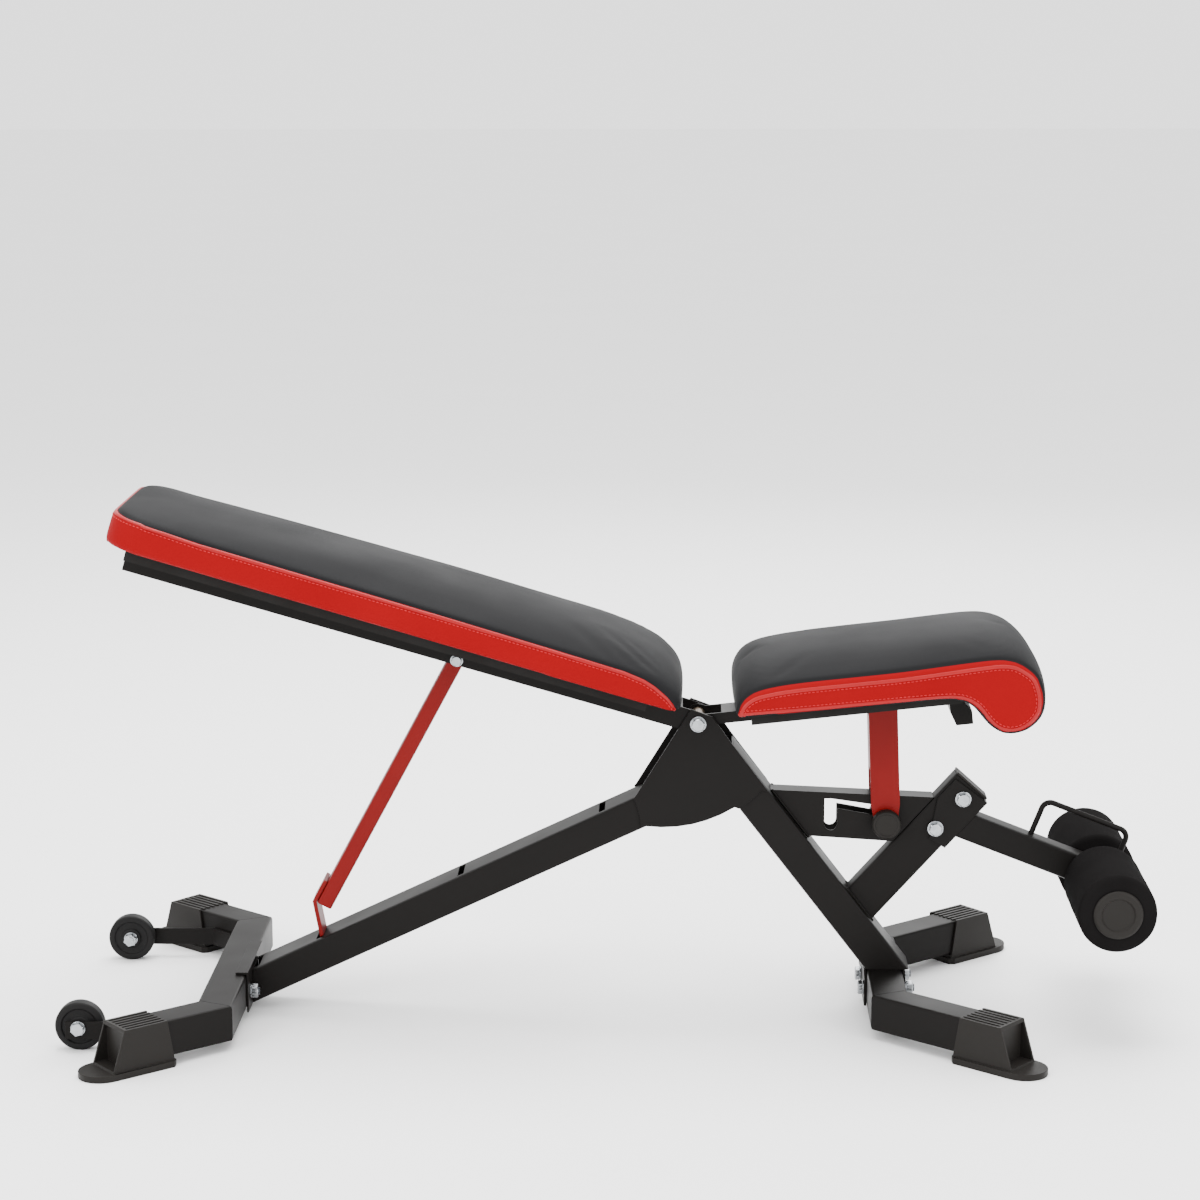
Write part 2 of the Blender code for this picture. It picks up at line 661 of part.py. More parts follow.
def crown_height(distance, radius):
    """Share of the full crown this far in from a rounded end."""
    if distance >= radius:
        return 1.0
    return math.sqrt(1 - (1 - distance / radius) ** 2)


def cushion(name, stations, material, parent):
    """A pad lofted along X. Each station is (x, half width, bottom, seam, crown)."""
    maker = bmesh.new()
    loops = []
    for x, half, bottom, seam, crown in stations:
        edge = min(0.006, (seam - bottom) / 3)
        arch = [math.radians(a) for a in (0, 18, 36, 54, 72, 90, 108, 126, 144, 162, 180)]
        loop = [(x, -half + edge, bottom), (x, half - edge, bottom), (x, half, bottom + edge)]
        for turn in arch:
            reach = math.copysign(abs(math.cos(turn)) ** 0.7, math.cos(turn))
            loop.append((x, half * reach, seam + crown * math.sin(turn) ** 0.7))
        loop.append((x, -half, bottom + edge))
        loops.append(loop)
    bridge(maker, loops)
    return object_from(maker, name, material, parent)


def build_back(steel, wood, vinyl, zinc):
    """Frame channel, board, pad and screws, drawn flat and tipped up by the hinge's own turn."""
    hinge = hinge_point("back_hinge", PIVOT, BACK_ANGLE)
    low = -BACK_CHANNEL_DROP
    high = low + BACK_CHANNEL_HEIGHT
    outline = [(-BACK_FRAME_REACH, high), (-BACK_FRAME_REACH, low)]
    outline += arc((0, 0), LUG_RADIUS, math.radians(-100), math.radians(80), 8)
    outline += [(-0.006, high)]
    far = -BACK_FRAME_REACH - 0.01
    web = high - PLATE
    hollow = [(far, low - 0.02), (0.05, low - 0.02), (0.05, 0.05), (-BACK_WEB_START, 0.05)]
    hollow += [(-BACK_WEB_START, web), (far, web)]
    frame = channel("back_frame", outline, BACK_CHANNEL_HALF, PLATE, hollow, steel, hinge)
    drill(frame, "back_frame_pivot_hole", (0, 0, 0), BOLT_RADIUS + RUNNING_GAP, 0.05)
    near = -STRUT_PIVOT[0] + STRUT_LENGTH - TONGUE_LAP - 0.006
    window = [(-near, web - 0.001), (-near, high + 0.002), (far, high + 0.002), (far, web - 0.001)]
    room = TONGUE_WIDTH / 2 + 0.003
    boolean(frame, slab("back_frame_tongue_window", window, -room, room, None, hinge))
    strut_centre = (STRUT_PIVOT[0], 0, STRUT_PIVOT[1])
    drill(frame, "back_frame_strut_hole", strut_centre, STRUT_BOLT_RADIUS + BOLT_GAP, 0.05, sides=12)

    board_low = high + WELD_GAP
    board_high = board_low + BOARD
    ends = [(-BACK_BOARD_REACH, -BOARD_WIDTH / 2), (-BACK_BOARD_START, -BOARD_WIDTH / 2)]
    ends += [(-BACK_BOARD_START, BOARD_WIDTH / 2), (-BACK_BOARD_REACH, BOARD_WIDTH / 2)]
    board = slab("back_board", ends, board_low, board_high, wood, hinge, "plan")

    bottom = board_high + WELD_GAP
    stations = []
    for inset in (0, 0.004, 0.012, 0.030, 0.060, 0.110):
        half = PAD_WIDTH / 2 - rounding_loss(inset, 0.030)
        crown = BACK_PAD_CROWN * crown_height(inset + 0.004, 0.17)
        rise = 0.004 * (1 - inset / 0.11)
        stations.append((-BACK_PAD_REACH + inset, half, bottom, bottom + BACK_PAD_SIDE + rise, crown))
    for inset in (0.110, 0.075, 0.050, 0.030, 0.014, 0.004, 0):
        half = PAD_WIDTH / 2 - rounding_loss(inset, 0.014)
        share = crown_height(inset + 0.002, 0.110)
        seam = bottom + 0.006 + (BACK_PAD_SIDE - 0.006) * share
        stations.append((-BACK_PAD_START - inset, half, bottom, seam, BACK_PAD_CROWN * share))
    cushion("back_cushion", stations, vinyl, hinge)

    for number, place in enumerate(BACK_SCREWS, 1):
        centre = (-place, 0, 0)
        name = f"back_pad_screw_{number}"
        radius = 0.003
        drill(frame, name + "_frame_hole", (-place, 0, web), radius + BOLT_GAP, 0.012, "z", 12)
        drill(board, name + "_board_hole", (-place, 0, board_low), radius + BOLT_GAP, 0.03, "z", 12)
        under = web - WELD_GAP
        profile = [(0, under - 0.0035), (0.006, under - 0.003), (0.008, under), (radius, under)]
        profile += [(radius, board_high - 0.002), (0, board_high - 0.002)]
        turned(name, profile, centre, "z", 12, zinc, hinge)

    start = -BACK_CHANNEL_HALF - WELD_GAP
    bolt("strut_pivot_bolt", strut_centre, "y", start, -start, STRUT_BOLT_RADIUS, zinc, hinge, 0.008)
    return hinge


def rounding_loss(inset, radius):
    """How much narrower a rounded plan corner is at this distance from the end."""
    if inset >= radius:
        return 0.0
    return radius - math.sqrt(radius**2 - (radius - inset) ** 2)


def build_strut(back_hinge, red, brass):
    """The strut hangs from its own pivot: its frame's -Z runs down the tube."""
    turn = STRUT_LEAN - BACK_ANGLE
    spot = hinge_point("strut_hinge", STRUT_PIVOT, turn, back_hinge)
    half = BACK_CHANNEL_HALF - PLATE - 0.001
    bore = STRUT_BOLT_RADIUS + RUNNING_GAP
    ring = [(bore, -half), (STRUT_BUSH_RADIUS, -half), (STRUT_BUSH_RADIUS, half), (bore, half)]
    turned("strut_bush", ring, (0, 0, 0), "y", 16, brass, spot, closed=True)
    cuts = (((0, 0, STRUT_DEPTH / 2), (0, 0, 1)), ((0, 0, -STRUT_LENGTH), (0, 0, 1)))
    sizes = (STRUT_DEPTH, STRUT_WIDTH)
    tube = box_tube("strut_tube", (0, 0, 0), (0, 0, 1), (0, 1, 0), sizes, cuts, red, spot)
    drill(tube, "strut_tube_hole", (0, 0, 0), STRUT_BUSH_RADIUS + RUNNING_GAP, 0.04)

    face = -STRUT_DEPTH / 2 - WELD_GAP
    knee = (face, -STRUT_LENGTH)
    inner = Line(knee, -math.pi / 2 + TONGUE_TURN)
    outer = inner.moved(-TONGUE)
    back_face = Line((face - TONGUE, 0), -math.pi / 2)
    tip = slot_mouth_in_strut_frame()
    top = -STRUT_LENGTH + TONGUE_LAP
    outline = [(face, top), (face - TONGUE, top), back_face.meet(outer), outer.meet(tip), inner.meet(tip)]
    outline += [knee]
    slab("strut_tongue", outline, -TONGUE_WIDTH / 2, TONGUE_WIDTH / 2, red, spot)


def slot_mouth_in_strut_frame():
    """The rear leg's upper face, lifted by a small gap, as a line in the strut's own frame."""
    turn = Matrix.Rotation(-BACK_ANGLE, 2)
    pivot = Vector(PIVOT) + turn @ Vector(STRUT_PIVOT)
    mouth = REAR_LEG_UPPER.moved(0.0004)
    local = Matrix.Rotation(STRUT_LEAN, 2) @ (mouth.point - pivot)
    return Line(local, mouth.angle + STRUT_LEAN)


def build_seat(steel, wood, vinyl, zinc):
    """Frame channel, board, pad with its drooping bolster, and the stop bracket, drawn flat."""
    hinge = hinge_point("seat_hinge", PIVOT, SEAT_ANGLE)
    low = -SEAT_CHANNEL_DROP
    high = low + SEAT_CHANNEL_HEIGHT
    outline = [(SEAT_FRAME_REACH, low), (SEAT_FRAME_REACH, high), (0.010, high)]
    outline += arc((0, 0), LUG_RADIUS, math.radians(60), math.radians(300), 10)
    outline += [(0.020, low)]
    web = high - PLATE
    far = SEAT_FRAME_REACH + 0.01
    hollow = [(SEAT_WEB_START, 0.05), (-0.05, 0.05), (-0.05, -0.05), (far, -0.05), (far, web)]
    hollow += [(SEAT_WEB_START, web)]
    frame = channel("seat_frame", outline, SEAT_CHANNEL_HALF, PLATE, hollow, steel, hinge)
    drill(frame, "seat_frame_pivot_hole", (0, 0, 0), BOLT_RADIUS + RUNNING_GAP, 0.05)
    link_centre = (LINK_PIVOT[0], 0, LINK_PIVOT[1])
    drill(frame, "seat_frame_link_hole", link_centre, LINK_BOLT_RADIUS + BOLT_GAP, 0.05, sides=12)
    room = LINK_WIDTH / 2 + 0.004
    window = [(LINK_PIVOT[0] - room, web - 0.001), (LINK_PIVOT[0] + room, web - 0.001)]
    window += [(LINK_PIVOT[0] + room, high + 0.002), (LINK_PIVOT[0] - room, high + 0.002)]
    inside = SEAT_CHANNEL_HALF - PLATE
    boolean(frame, slab("seat_frame_window", window, -inside, inside, None, hinge))
    start = -SEAT_CHANNEL_HALF - WELD_GAP
    bolt("link_pivot_bolt", link_centre, "y", start, -start, LINK_BOLT_RADIUS, zinc, hinge, 0.008)

    board_low = high + WELD_GAP
    board_high = board_low + BOARD
    ends = [(SEAT_BOARD_START, -BOARD_WIDTH / 2), (SEAT_BOARD_REACH, -BOARD_WIDTH / 2)]
    ends += [(SEAT_BOARD_REACH, BOARD_WIDTH / 2), (SEAT_BOARD_START, BOARD_WIDTH / 2)]
    slab("seat_board", ends, board_low, board_high, wood, hinge, "plan")

    stop_half = SEAT_CHANNEL_HALF - PLATE - WELD_GAP
    stop_top = web - WELD_GAP
    foot, step = low - STOP_DROP, low - STOP_STEP
    stop = [(STOP_TOP[0], stop_top), (STOP_TOP[0], step), (STOP_FOOT[0], foot), (STOP_FOOT[1], foot)]
    stop += [(STOP_FOOT[1], step), (STOP_TOP[1], step + 0.010), (STOP_TOP[1], stop_top)]
    slab("seat_stop_bracket", stop, -stop_half, stop_half, steel, hinge)

    bottom = board_high + WELD_GAP
    full = PAD_WIDTH / 2
    centre_x, centre_z = BOLSTER_PLACE
    stations = []
    for inset in (0, 0.004, 0.014, 0.030, 0.055, 0.090):
        share = crown_height(inset + 0.002, 0.090)
        seam = bottom + 0.006 + (SEAT_PAD_SIDE - 0.006) * share
        half = full - rounding_loss(inset, 0.014)
        stations.append((SEAT_PAD_START + inset, half, bottom, seam, SEAT_PAD_CROWN * share))
    droop_start = centre_x - BOLSTER_RADIUS + 0.0005
    stations.append((droop_start - 0.004, full, bottom, bottom + SEAT_PAD_SIDE, SEAT_PAD_CROWN))
    for turn in (178, 160, 135, 110, 90, 65, 45, 28, 12):
        x = centre_x + BOLSTER_RADIUS * math.cos(math.radians(turn))
        drop = BOLSTER_RADIUS * math.sin(math.radians(turn))
        ahead = max(0.0, (x - centre_x) / BOLSTER_RADIUS)
        seam = max(centre_z + drop, centre_z + 0.002) if ahead > 0 else bottom + SEAT_PAD_SIDE
        crown = SEAT_PAD_CROWN * math.sqrt(max(0.0, 1 - ahead**2))
        stations.append((x, full, centre_z - drop, seam, crown))
    cushion("seat_cushion", stations, vinyl, hinge)
    return hinge


def build_link(seat_hinge, red, plastic):
    """The red link: two plates joined by a web near its top, with a knob on each end of the slot pin."""
    spot = hinge_point("link_hinge", LINK_PIVOT, 0, seat_hinge)
    turn = Matrix.Rotation(-SEAT_ANGLE, 2)
    pivot = Vector(PIVOT) + turn @ Vector(LINK_PIVOT)
    reach = Vector(LINK_FOOT) - pivot
    lean = math.atan2(reach.x, -reach.y)
    spot.rotation_euler = (0, -SEAT_ANGLE - lean, 0)
    length = reach.length
    half = LINK_WIDTH / 2
    foot_radius = half * 0.8
    outline = [(-half, -LINK_SHOULDER)]
    outline += arc((0, 0), LINK_TOP_RADIUS, math.radians(160), math.radians(20), 6)
    outline += [(half, -LINK_SHOULDER), (half, -length + foot_radius * 1.6)]
    outline += [(x, z - length) for x, z in arc((0, 0), foot_radius, -0.15, -math.pi + 0.15, 8)]
    outline += [(-half, -length + foot_radius * 1.6)]
    outline.reverse()
    web_right = -half + LINK_PLATE
    web_top, web_foot = -0.016, -0.085
    hollow = [(web_right, web_top), (web_right, web_foot), (-0.05, web_foot), (-0.05, -0.3), (0.05, -0.3)]
    hollow += [(0.05, 0.05), (-0.05, 0.05), (-0.05, web_top)]
    link = channel("seat_link", outline, LINK_HALF, LINK_PLATE, hollow, red, spot)
    drill(link, "seat_link_pivot_hole", (0, 0, 0), LINK_BOLT_RADIUS + RUNNING_GAP, 0.04)
    drill(link, "seat_link_pin_hole", (0, 0, -length), PIN_RADIUS + BOLT_GAP, 0.04)
    for hand, side in (("left", 1), ("right", -1)):
        inner = side * (BRACKET_HALF + 0.001)
        face = side * (LINK_HALF + WELD_GAP)
        outer = face + side * KNOB_THICKNESS
        profile = [(0, inner), (PIN_RADIUS, inner), (PIN_RADIUS, face), (KNOB_RADIUS - 0.001, face)]
        profile += [(KNOB_RADIUS, face + side * 0.002), (KNOB_RADIUS, outer - side * 0.002)]
        profile += [(KNOB_RADIUS - 0.002, outer), (0, outer)]
        turned(f"adjuster_knob_{hand}", profile, (0, 0, -length), "y", 20, plastic, spot)
    return spot


def build_hold_down(steel, plastic, zinc, brace):
    """The bracket bolted over the brace's end, with the arm welded to its base, and the brace's end cap."""
    base = BRACE_LOWER.moved(-WELD_GAP)
    start = HOLD_BASE_START
    stop = start + HOLD_BASE_LENGTH
    outer = base.moved(-PLATE)
    top = base.moved(HOLD_FLANGE)
    outline = [outer.at(start), outer.at(stop), top.at(stop - 0.004), top.at(0.045)]
    outline += [base.moved(HOLD_FLANGE * 0.42).at(start - 0.004)]
    half = BRACE_WIDTH / 2 + WELD_GAP + PLATE
    hollow = [base.at(start - 0.05), base.at(stop + 0.05), top.moved(0.05).at(stop + 0.05)]
    hollow += [top.moved(0.05).at(start - 0.05)]
    bracket = channel("hold_down_bracket", outline, half, PLATE, hollow, steel)
    for number, (x, z) in enumerate(HOLD_BOLTS, 1):
        for target in (bracket, brace):
            drill(target, f"{target.name}_bolt_hole_{number}", (x, 0, z), BOLT_RADIUS + BOLT_GAP, 0.05)
        bolt(f"hold_down_bolt_{number}", (x, 0, z), "y", -half - WELD_GAP, half + WELD_GAP, BOLT_RADIUS, zinc)

    end = (ARM_END_X, 0, ARM_UPPER.height(ARM_END_X))
    weld_face = outer.moved(-WELD_GAP)
    square_end = ((end[0], 0, end[2]), (ARM_UPPER.along.x, 0, ARM_UPPER.along.y))
    middle = ARM_LOWER.moved(ARM_SIZE / 2)
    centre = (middle.point.x, 0, middle.point.y)
    along = (middle.along.x, 0, middle.along.y)
    cuts = (side_cut(weld_face), square_end)
    arm = box_tube("hold_down_arm", centre, along, (0, 1, 0), (ARM_SIZE, ARM_SIZE), cuts, steel)
    axle_place = (ROLLER_AXIS[0], 0, ROLLER_AXIS[1])
    drill(arm, "hold_down_arm_axle_hole", axle_place, AXLE_RADIUS + BOLT_GAP, 0.05)

    gap = WELD_GAP
    cap_face = BRACE_END.moved(-gap)
    depth = BRACE_DEPTH
    lid = [cap_face.at(0), cap_face.at(depth), cap_face.moved(-0.003).at(depth), cap_face.moved(-0.003).at(0)]
    cap = slab("brace_end_cap", lid, -BRACE_WIDTH / 2, BRACE_WIDTH / 2, plastic)
    inset = TUBE_WALL + 0.0005
    plug_top = cap_face.moved(-0.001)
    plug_low = cap_face.moved(0.010)
    plug = [plug_top.at(inset), plug_top.at(depth - inset), plug_low.at(depth - inset), plug_low.at(inset)]
    plug_half = BRACE_WIDTH / 2 - inset - 0.001
    boolean(cap, slab("brace_end_cap_plug", plug, -plug_half, plug_half, None), "UNION")


def build_rollers(foam, plastic, zinc):
    """The axle through the arm and, on each side, a foam sleeve with its end cap."""
    place = (ROLLER_AXIS[0], 0, ROLLER_AXIS[1])
    half = ROLLER_END - 0.004
    axle = [(0, -half), (AXLE_RADIUS - 0.001, -half), (AXLE_RADIUS, -half + 0.001)]
    axle += [(AXLE_RADIUS, half - 0.001), (AXLE_RADIUS - 0.001, half), (0, half)]
    turned("roller_axle", axle, place, "y", 20, zinc)
    for hand, side in (("left", 1), ("right", -1)):
        spot = hinge_point(f"roller_axis_{hand}", (place[0], 0, place[2]))
        first = side * ROLLER_START
        last = side * ROLLER_END
        soft = side * 0.006
        rim = ROLLER_RADIUS
        sleeve = [(ROLLER_BORE, first), (rim - 0.006, first), (rim - 0.0015, first + soft)]
        sleeve += [(rim, first + 3 * soft), (rim, last - 3 * soft), (rim - 0.0015, last - soft)]
        sleeve += [(rim - 0.006, last), (ROLLER_BORE, last)]
        turned(f"foam_roller_{hand}", sleeve, (0, 0, 0), "y", 28, foam, spot, closed=True)
        face = last + side * WELD_GAP
        outer = face + side * ROLLER_CAP
        bore = AXLE_RADIUS + RUNNING_GAP
        hub = ROLLER_BORE - WELD_GAP
        deep = last - side * 0.030
        floor = last - side * 0.002
        dish = outer - side * 0.0025
        cap = [(0, dish), (ROLLER_CAP_DISH, dish), (ROLLER_CAP_DISH + 0.002, outer)]
        cap += [(ROLLER_CAP_RADIUS - 0.003, outer), (ROLLER_CAP_RADIUS, face + side * 0.002)]
        cap += [(ROLLER_CAP_RADIUS, face), (hub, face), (hub, deep), (bore, deep), (bore, floor), (0, floor)]
        turned(f"roller_end_cap_{hand}", cap, (0, 0, 0), "y", 24, plastic, spot)


def build_handle(steel):
    """The bent rod above the arm's end: up from the arm, along it and down again."""
    out = Vector((-ARM_UPPER.along.y, ARM_UPPER.along.x))
    base = ARM_UPPER.at(HANDLE_START)
    foot = base + out * WELD_GAP
    corner = base + out * HANDLE_HEIGHT
    far_corner = corner + ARM_UPPER.along * HANDLE_SPAN
    far_foot = foot + ARM_UPPER.along * HANDLE_SPAN
    bend = HANDLE_BEND
    first_centre = corner + (ARM_UPPER.along - out) * bend
    last_centre = far_corner - (ARM_UPPER.along + out) * bend
    turn = ARM_ANGLE
    path = [foot]
    path += arc(first_centre, bend, math.pi + turn, math.pi / 2 + turn, 5)
    path += arc(last_centre, bend, math.pi / 2 + turn, turn, 5)
    path += [far_foot]
    curve = bpy.data.curves.new("handle_loop", "CURVE")
    curve.dimensions = "3D"
    curve.bevel_depth = HANDLE_ROD
    curve.bevel_resolution = 2
    curve.use_fill_caps = True
    spline = curve.splines.new("POLY")
    spline.points.add(len(path) - 1)
    for point, (x, z) in zip(spline.points, path):
        point.co = (x, 0, z, 1)
    curve.materials.append(steel)
    handle = bpy.data.objects.new("handle_loop", curve)
    bpy.context.scene.collection.objects.link(handle)


def main():
    clear_scene()
    steel = finish_material("black_powder_coat", (0.028, 0.026, 0.025), 0.42)
    red = finish_material("red_powder_coat", (0.38, 0.025, 0.022), 0.40)
    vinyl = finish_material("pad_vinyl", (0.045, 0.045, 0.047), 0.45)
    foam = finish_material("foam_rubber", (0.016, 0.015, 0.015), 0.90)
    plastic = finish_material("black_plastic", (0.038, 0.034, 0.032), 0.55)
    rubber = finish_material("wheel_rubber", (0.020, 0.020, 0.020), 0.60)
    zinc = finish_material("zinc_plate", (0.62, 0.62, 0.60), 0.28, 1.0)
    wood = finish_material("plywood", (0.42, 0.28, 0.16), 0.70)
    brass = finish_material("bearing_bronze", (0.52, 0.38, 0.18), 0.40, 1.0)

    brace = build_legs(steel)
    build_gussets(steel)
    build_slot_bracket(steel)
    rear_sizes = (REAR_BAR_X, REAR_BAR_HALF, REAR_ARM_LENGTH, -1)
    rear_bar = stabiliser("rear", *rear_sizes, steel, plastic)
    front_sizes = (FRONT_BAR_X, FRONT_BAR_HALF, FRONT_ARM_LENGTH, 1)
    front_bar = stabiliser("front", *front_sizes, steel, plastic)
    build_rear_mount(steel, zinc, rear_bar)
    build_front_mount(steel, zinc, front_bar)
    build_wheels(steel, rubber, zinc)
    build_main_hinge(zinc, brass)
    build_hold_down(steel, plastic, zinc, brace)
    build_rollers(foam, plastic, zinc)
    build_handle(steel)
    back_hinge = build_back(steel, wood, vinyl, zinc)
    build_strut(back_hinge, red, brass)
    seat_hinge = build_seat(steel, wood, vinyl, zinc)
    build_link(seat_hinge, red, plastic)


main()
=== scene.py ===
"""Looks of the decline sit-up bench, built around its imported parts.

Metres, +X towards the foam rollers, +Y the left side, +Z up. Sizes that are easier to read in
millimetres are given so, and say it in their names.
"""

import json
import logging
import math
from dataclasses import dataclass
from enum import Enum

import bmesh
import bpy
import numpy as np
from mathutils import Matrix, Vector, noise
from mathutils.bvhtree import BVHTree

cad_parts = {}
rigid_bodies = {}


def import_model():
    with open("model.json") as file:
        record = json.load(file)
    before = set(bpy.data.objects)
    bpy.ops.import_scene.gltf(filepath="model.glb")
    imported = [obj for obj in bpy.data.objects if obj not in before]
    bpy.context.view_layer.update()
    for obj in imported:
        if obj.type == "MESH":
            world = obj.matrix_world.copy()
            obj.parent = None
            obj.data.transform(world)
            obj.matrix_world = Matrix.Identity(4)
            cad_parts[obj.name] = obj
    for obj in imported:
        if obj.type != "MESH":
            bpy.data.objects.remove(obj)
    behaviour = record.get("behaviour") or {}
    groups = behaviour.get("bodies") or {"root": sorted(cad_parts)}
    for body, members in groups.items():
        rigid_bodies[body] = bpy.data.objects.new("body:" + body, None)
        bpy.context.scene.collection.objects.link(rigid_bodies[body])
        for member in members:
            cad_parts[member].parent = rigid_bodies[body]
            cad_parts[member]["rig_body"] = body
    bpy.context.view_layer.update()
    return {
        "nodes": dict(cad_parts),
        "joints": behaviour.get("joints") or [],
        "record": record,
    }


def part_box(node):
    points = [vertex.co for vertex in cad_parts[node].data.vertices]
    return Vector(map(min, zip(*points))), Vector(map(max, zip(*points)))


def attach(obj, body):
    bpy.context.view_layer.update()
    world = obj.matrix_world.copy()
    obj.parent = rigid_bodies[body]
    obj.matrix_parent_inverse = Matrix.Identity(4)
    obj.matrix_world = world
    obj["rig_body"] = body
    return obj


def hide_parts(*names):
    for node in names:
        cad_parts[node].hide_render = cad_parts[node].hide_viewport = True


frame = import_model()
MM = 0.001
LOG = logging.getLogger("bench")


class Side(Enum):
    """The bench's two sides, with the sign of Y on each."""

    LEFT = 1
    RIGHT = -1

    @property
    def word(self) -> str:
        """The side's name as node names spell it."""
        return self.name.lower()


class Seam(Enum):
    """How a pad's two colours of vinyl are joined."""

    BAND = "a band of side vinyl that runs round the far end"
    PANEL = "a flat side panel set into each end of the bolster"


# ---------------------------------------------------------------- shader and mesh helpers


def linear(colour: str) -> tuple[float, float, float, float]:
    """Turn an sRGB hex colour into the linear values that a shader takes.

    Args:
        colour: Six hex digits after a hash.

    Returns:
        Red, green, blue and an alpha of 1.
    """
    channels = [int(colour[i:i + 2], 16) / 255 for i in (1, 3, 5)]
    made = [c / 12.92 if c <= 0.04045 else ((c + 0.055) / 1.055) ** 2.4 for c in channels]
    return (made[0], made[1], made[2], 1.0)


def add_node(tree: bpy.types.NodeTree, kind: str, inputs: dict | None = None,
             **settings: object) -> bpy.types.Node:
    """Add a node, set its properties, and fill or link its inputs.

    Args:
        tree: The node tree that gets the node.
        kind: The node's type name.
        inputs: Values or output sockets by input name or index.
        **settings: Properties of the node itself.

    Returns:
        The new node.
    """
    node = tree.nodes.new(kind)
    for name, value in settings.items():
        setattr(node, name, value)
    for name, value in (inputs or {}).items():
        if isinstance(value, bpy.types.NodeSocket):
            tree.links.new(value, node.inputs[name])
        else:
            node.inputs[name].default_value = value
    return node


def new_object(name: str, mesh: bpy.types.Mesh) -> bpy.types.Object:
    """Link a mesh into the scene as an object at the origin.

    Args:
        name: The object's name.
        mesh: Its mesh.

    Returns:
        The new object.
    """
    made = bpy.data.objects.new(name, mesh)
    bpy.context.scene.collection.objects.link(made)
    return made


def from_bmesh(maker: bmesh.types.BMesh, name: str, sharp: float = 40.0) -> bpy.types.Object:
    """Turn a bmesh into an object with outward faces, shaded smooth up to a given edge angle.

    Args:
        maker: The mesh being made, which is freed.
        name: The object's name.
        sharp: Edges that turn more than this many degrees stay sharp.

    Returns:
        The new object.
    """
    bmesh.ops.recalc_face_normals(maker, faces=maker.faces)
    mesh = bpy.data.meshes.new(name)
    maker.to_mesh(mesh)
    maker.free()
    mesh.shade_smooth()
    mesh.set_sharp_from_angle(angle=math.radians(sharp))
    return new_object(name, mesh)


def baked(made: bpy.types.Object) -> bpy.types.Object:
    """Replace an object's mesh by its evaluated one and take its modifiers off.

    Args:
        made: The object.

    Returns:
        The same object.
    """
    graph = bpy.context.evaluated_depsgraph_get()
    mesh = bpy.data.meshes.new_from_object(made.evaluated_get(graph), depsgraph=graph)
    made.modifiers.clear()
    made.data = mesh
    return made


def add_rings(maker: bmesh.types.BMesh, rings: list[list[Vector]], closed: bool) -> None:
    """Bridge rings of points into a skin, closed on itself or capped at its ends.

    Args:
        maker: The mesh being made.
        rings: Loops with the same number of points.
        closed: Whether the last ring joins the first.
    """
    made = [[maker.verts.new(point) for point in ring] for ring in rings]
    pairs = list(zip(made, made[1:])) + ([(made[-1], made[0])] if closed else [])
    for first, second in pairs:
        count = len(first)
        for i in range(count):
            j = (i + 1) % count
            maker.faces.new((first[i], first[j], second[j], second[i]))
    if not closed:
        maker.faces.new(made[0])
        maker.faces.new(made[-1])


def turned_rings(profile: list[tuple[float, float]], place: Vector, axis: Vector,
                 sides: int) -> list[list[Vector]]:
    """Rings of a turned shape.

    Args:
        profile: (radius, distance along the axis) pairs.
        place: The point on the axis at distance zero.
        axis: The axis, of length one.
        sides: Points round each ring.

    Returns:
        One ring for each profile point.
    """
    first = axis.orthogonal().normalized()
    second = axis.cross(first)
    turns = [2 * math.pi * i / sides for i in range(sides)]
    return [
        [place + axis * along + (first * math.cos(t) + second * math.sin(t)) * radius for t in turns]
        for radius, along in profile
    ]


def softened(points: list[tuple[float, float]], radius: float, steps: int = 4) -> list[tuple[float, float]]:
    """Round the inner corners of an open profile.

    Args:
        points: The profile's corners.
        radius: The most that a corner is cut back by.
        steps: Pieces in each rounded corner.

    Returns:
        The profile with its corners rounded.
    """
    made = [points[0]]
    for before, corner, after in zip(points, points[1:], points[2:]):
        here = Vector(corner)
        back, on = Vector(before) - here, Vector(after) - here
        cut = min(radius, back.length * 0.45, on.length * 0.45)
        start, end = here + back.normalized() * cut, here + on.normalized() * cut
        for i in range(steps + 1):
            t = i / steps
            spot = start * (1 - t) ** 2 + here * (2 * t * (1 - t)) + end * t * t
            made.append((spot.x, spot.y))
    return made + [points[-1]]


def turned(name: str, profile: list[tuple[float, float]], place: Vector, axis: Vector,
           sides: int = 64, closed: bool = False) -> bpy.types.Object:
    """Make a turned piece.

    Args:
        name: The piece's name.
        profile: (radius, distance along the axis) pairs. An open one is capped at its two ends.
        place: The point on the axis at distance zero.
        axis: The axis, of length one.
        sides: Points round each ring.
        closed: Whether the profile closes on itself.

    Returns:
        The piece.
    """
    maker = bmesh.new()
    add_rings(maker, turned_rings(profile, place, axis, sides), closed)
    return from_bmesh(maker, name)


def smooth_curve(points: list[Vector], steps: int, closed: bool) -> list[Vector]:
    """Points of a Catmull-Rom curve through the given ones.

    Args:
        points: The points that the curve passes through.
        steps: Pieces between two of them.
        closed: Whether the curve closes on itself.

    Returns:
        The curve's points.
    """
    count = len(points)
    made = []
    for i in range(count if closed else count - 1):
        if closed:
            a, b, c, d = (points[(i + k) % count] for k in (-1, 0, 1, 2))
        else:
            a, b, c, d = (points[min(max(i + k, 0), count - 1)] for k in (-1, 0, 1, 2))
        for step in range(steps):
            t = step / steps
            made.append(0.5 * (2 * b + (c - a) * t + (2 * a - 5 * b + 4 * c - d) * t * t
                               + (3 * b - a - 3 * c + d) * t ** 3))
    return made if closed else made + [points[-1]]


# ---------------------------------------------------------------- finishes


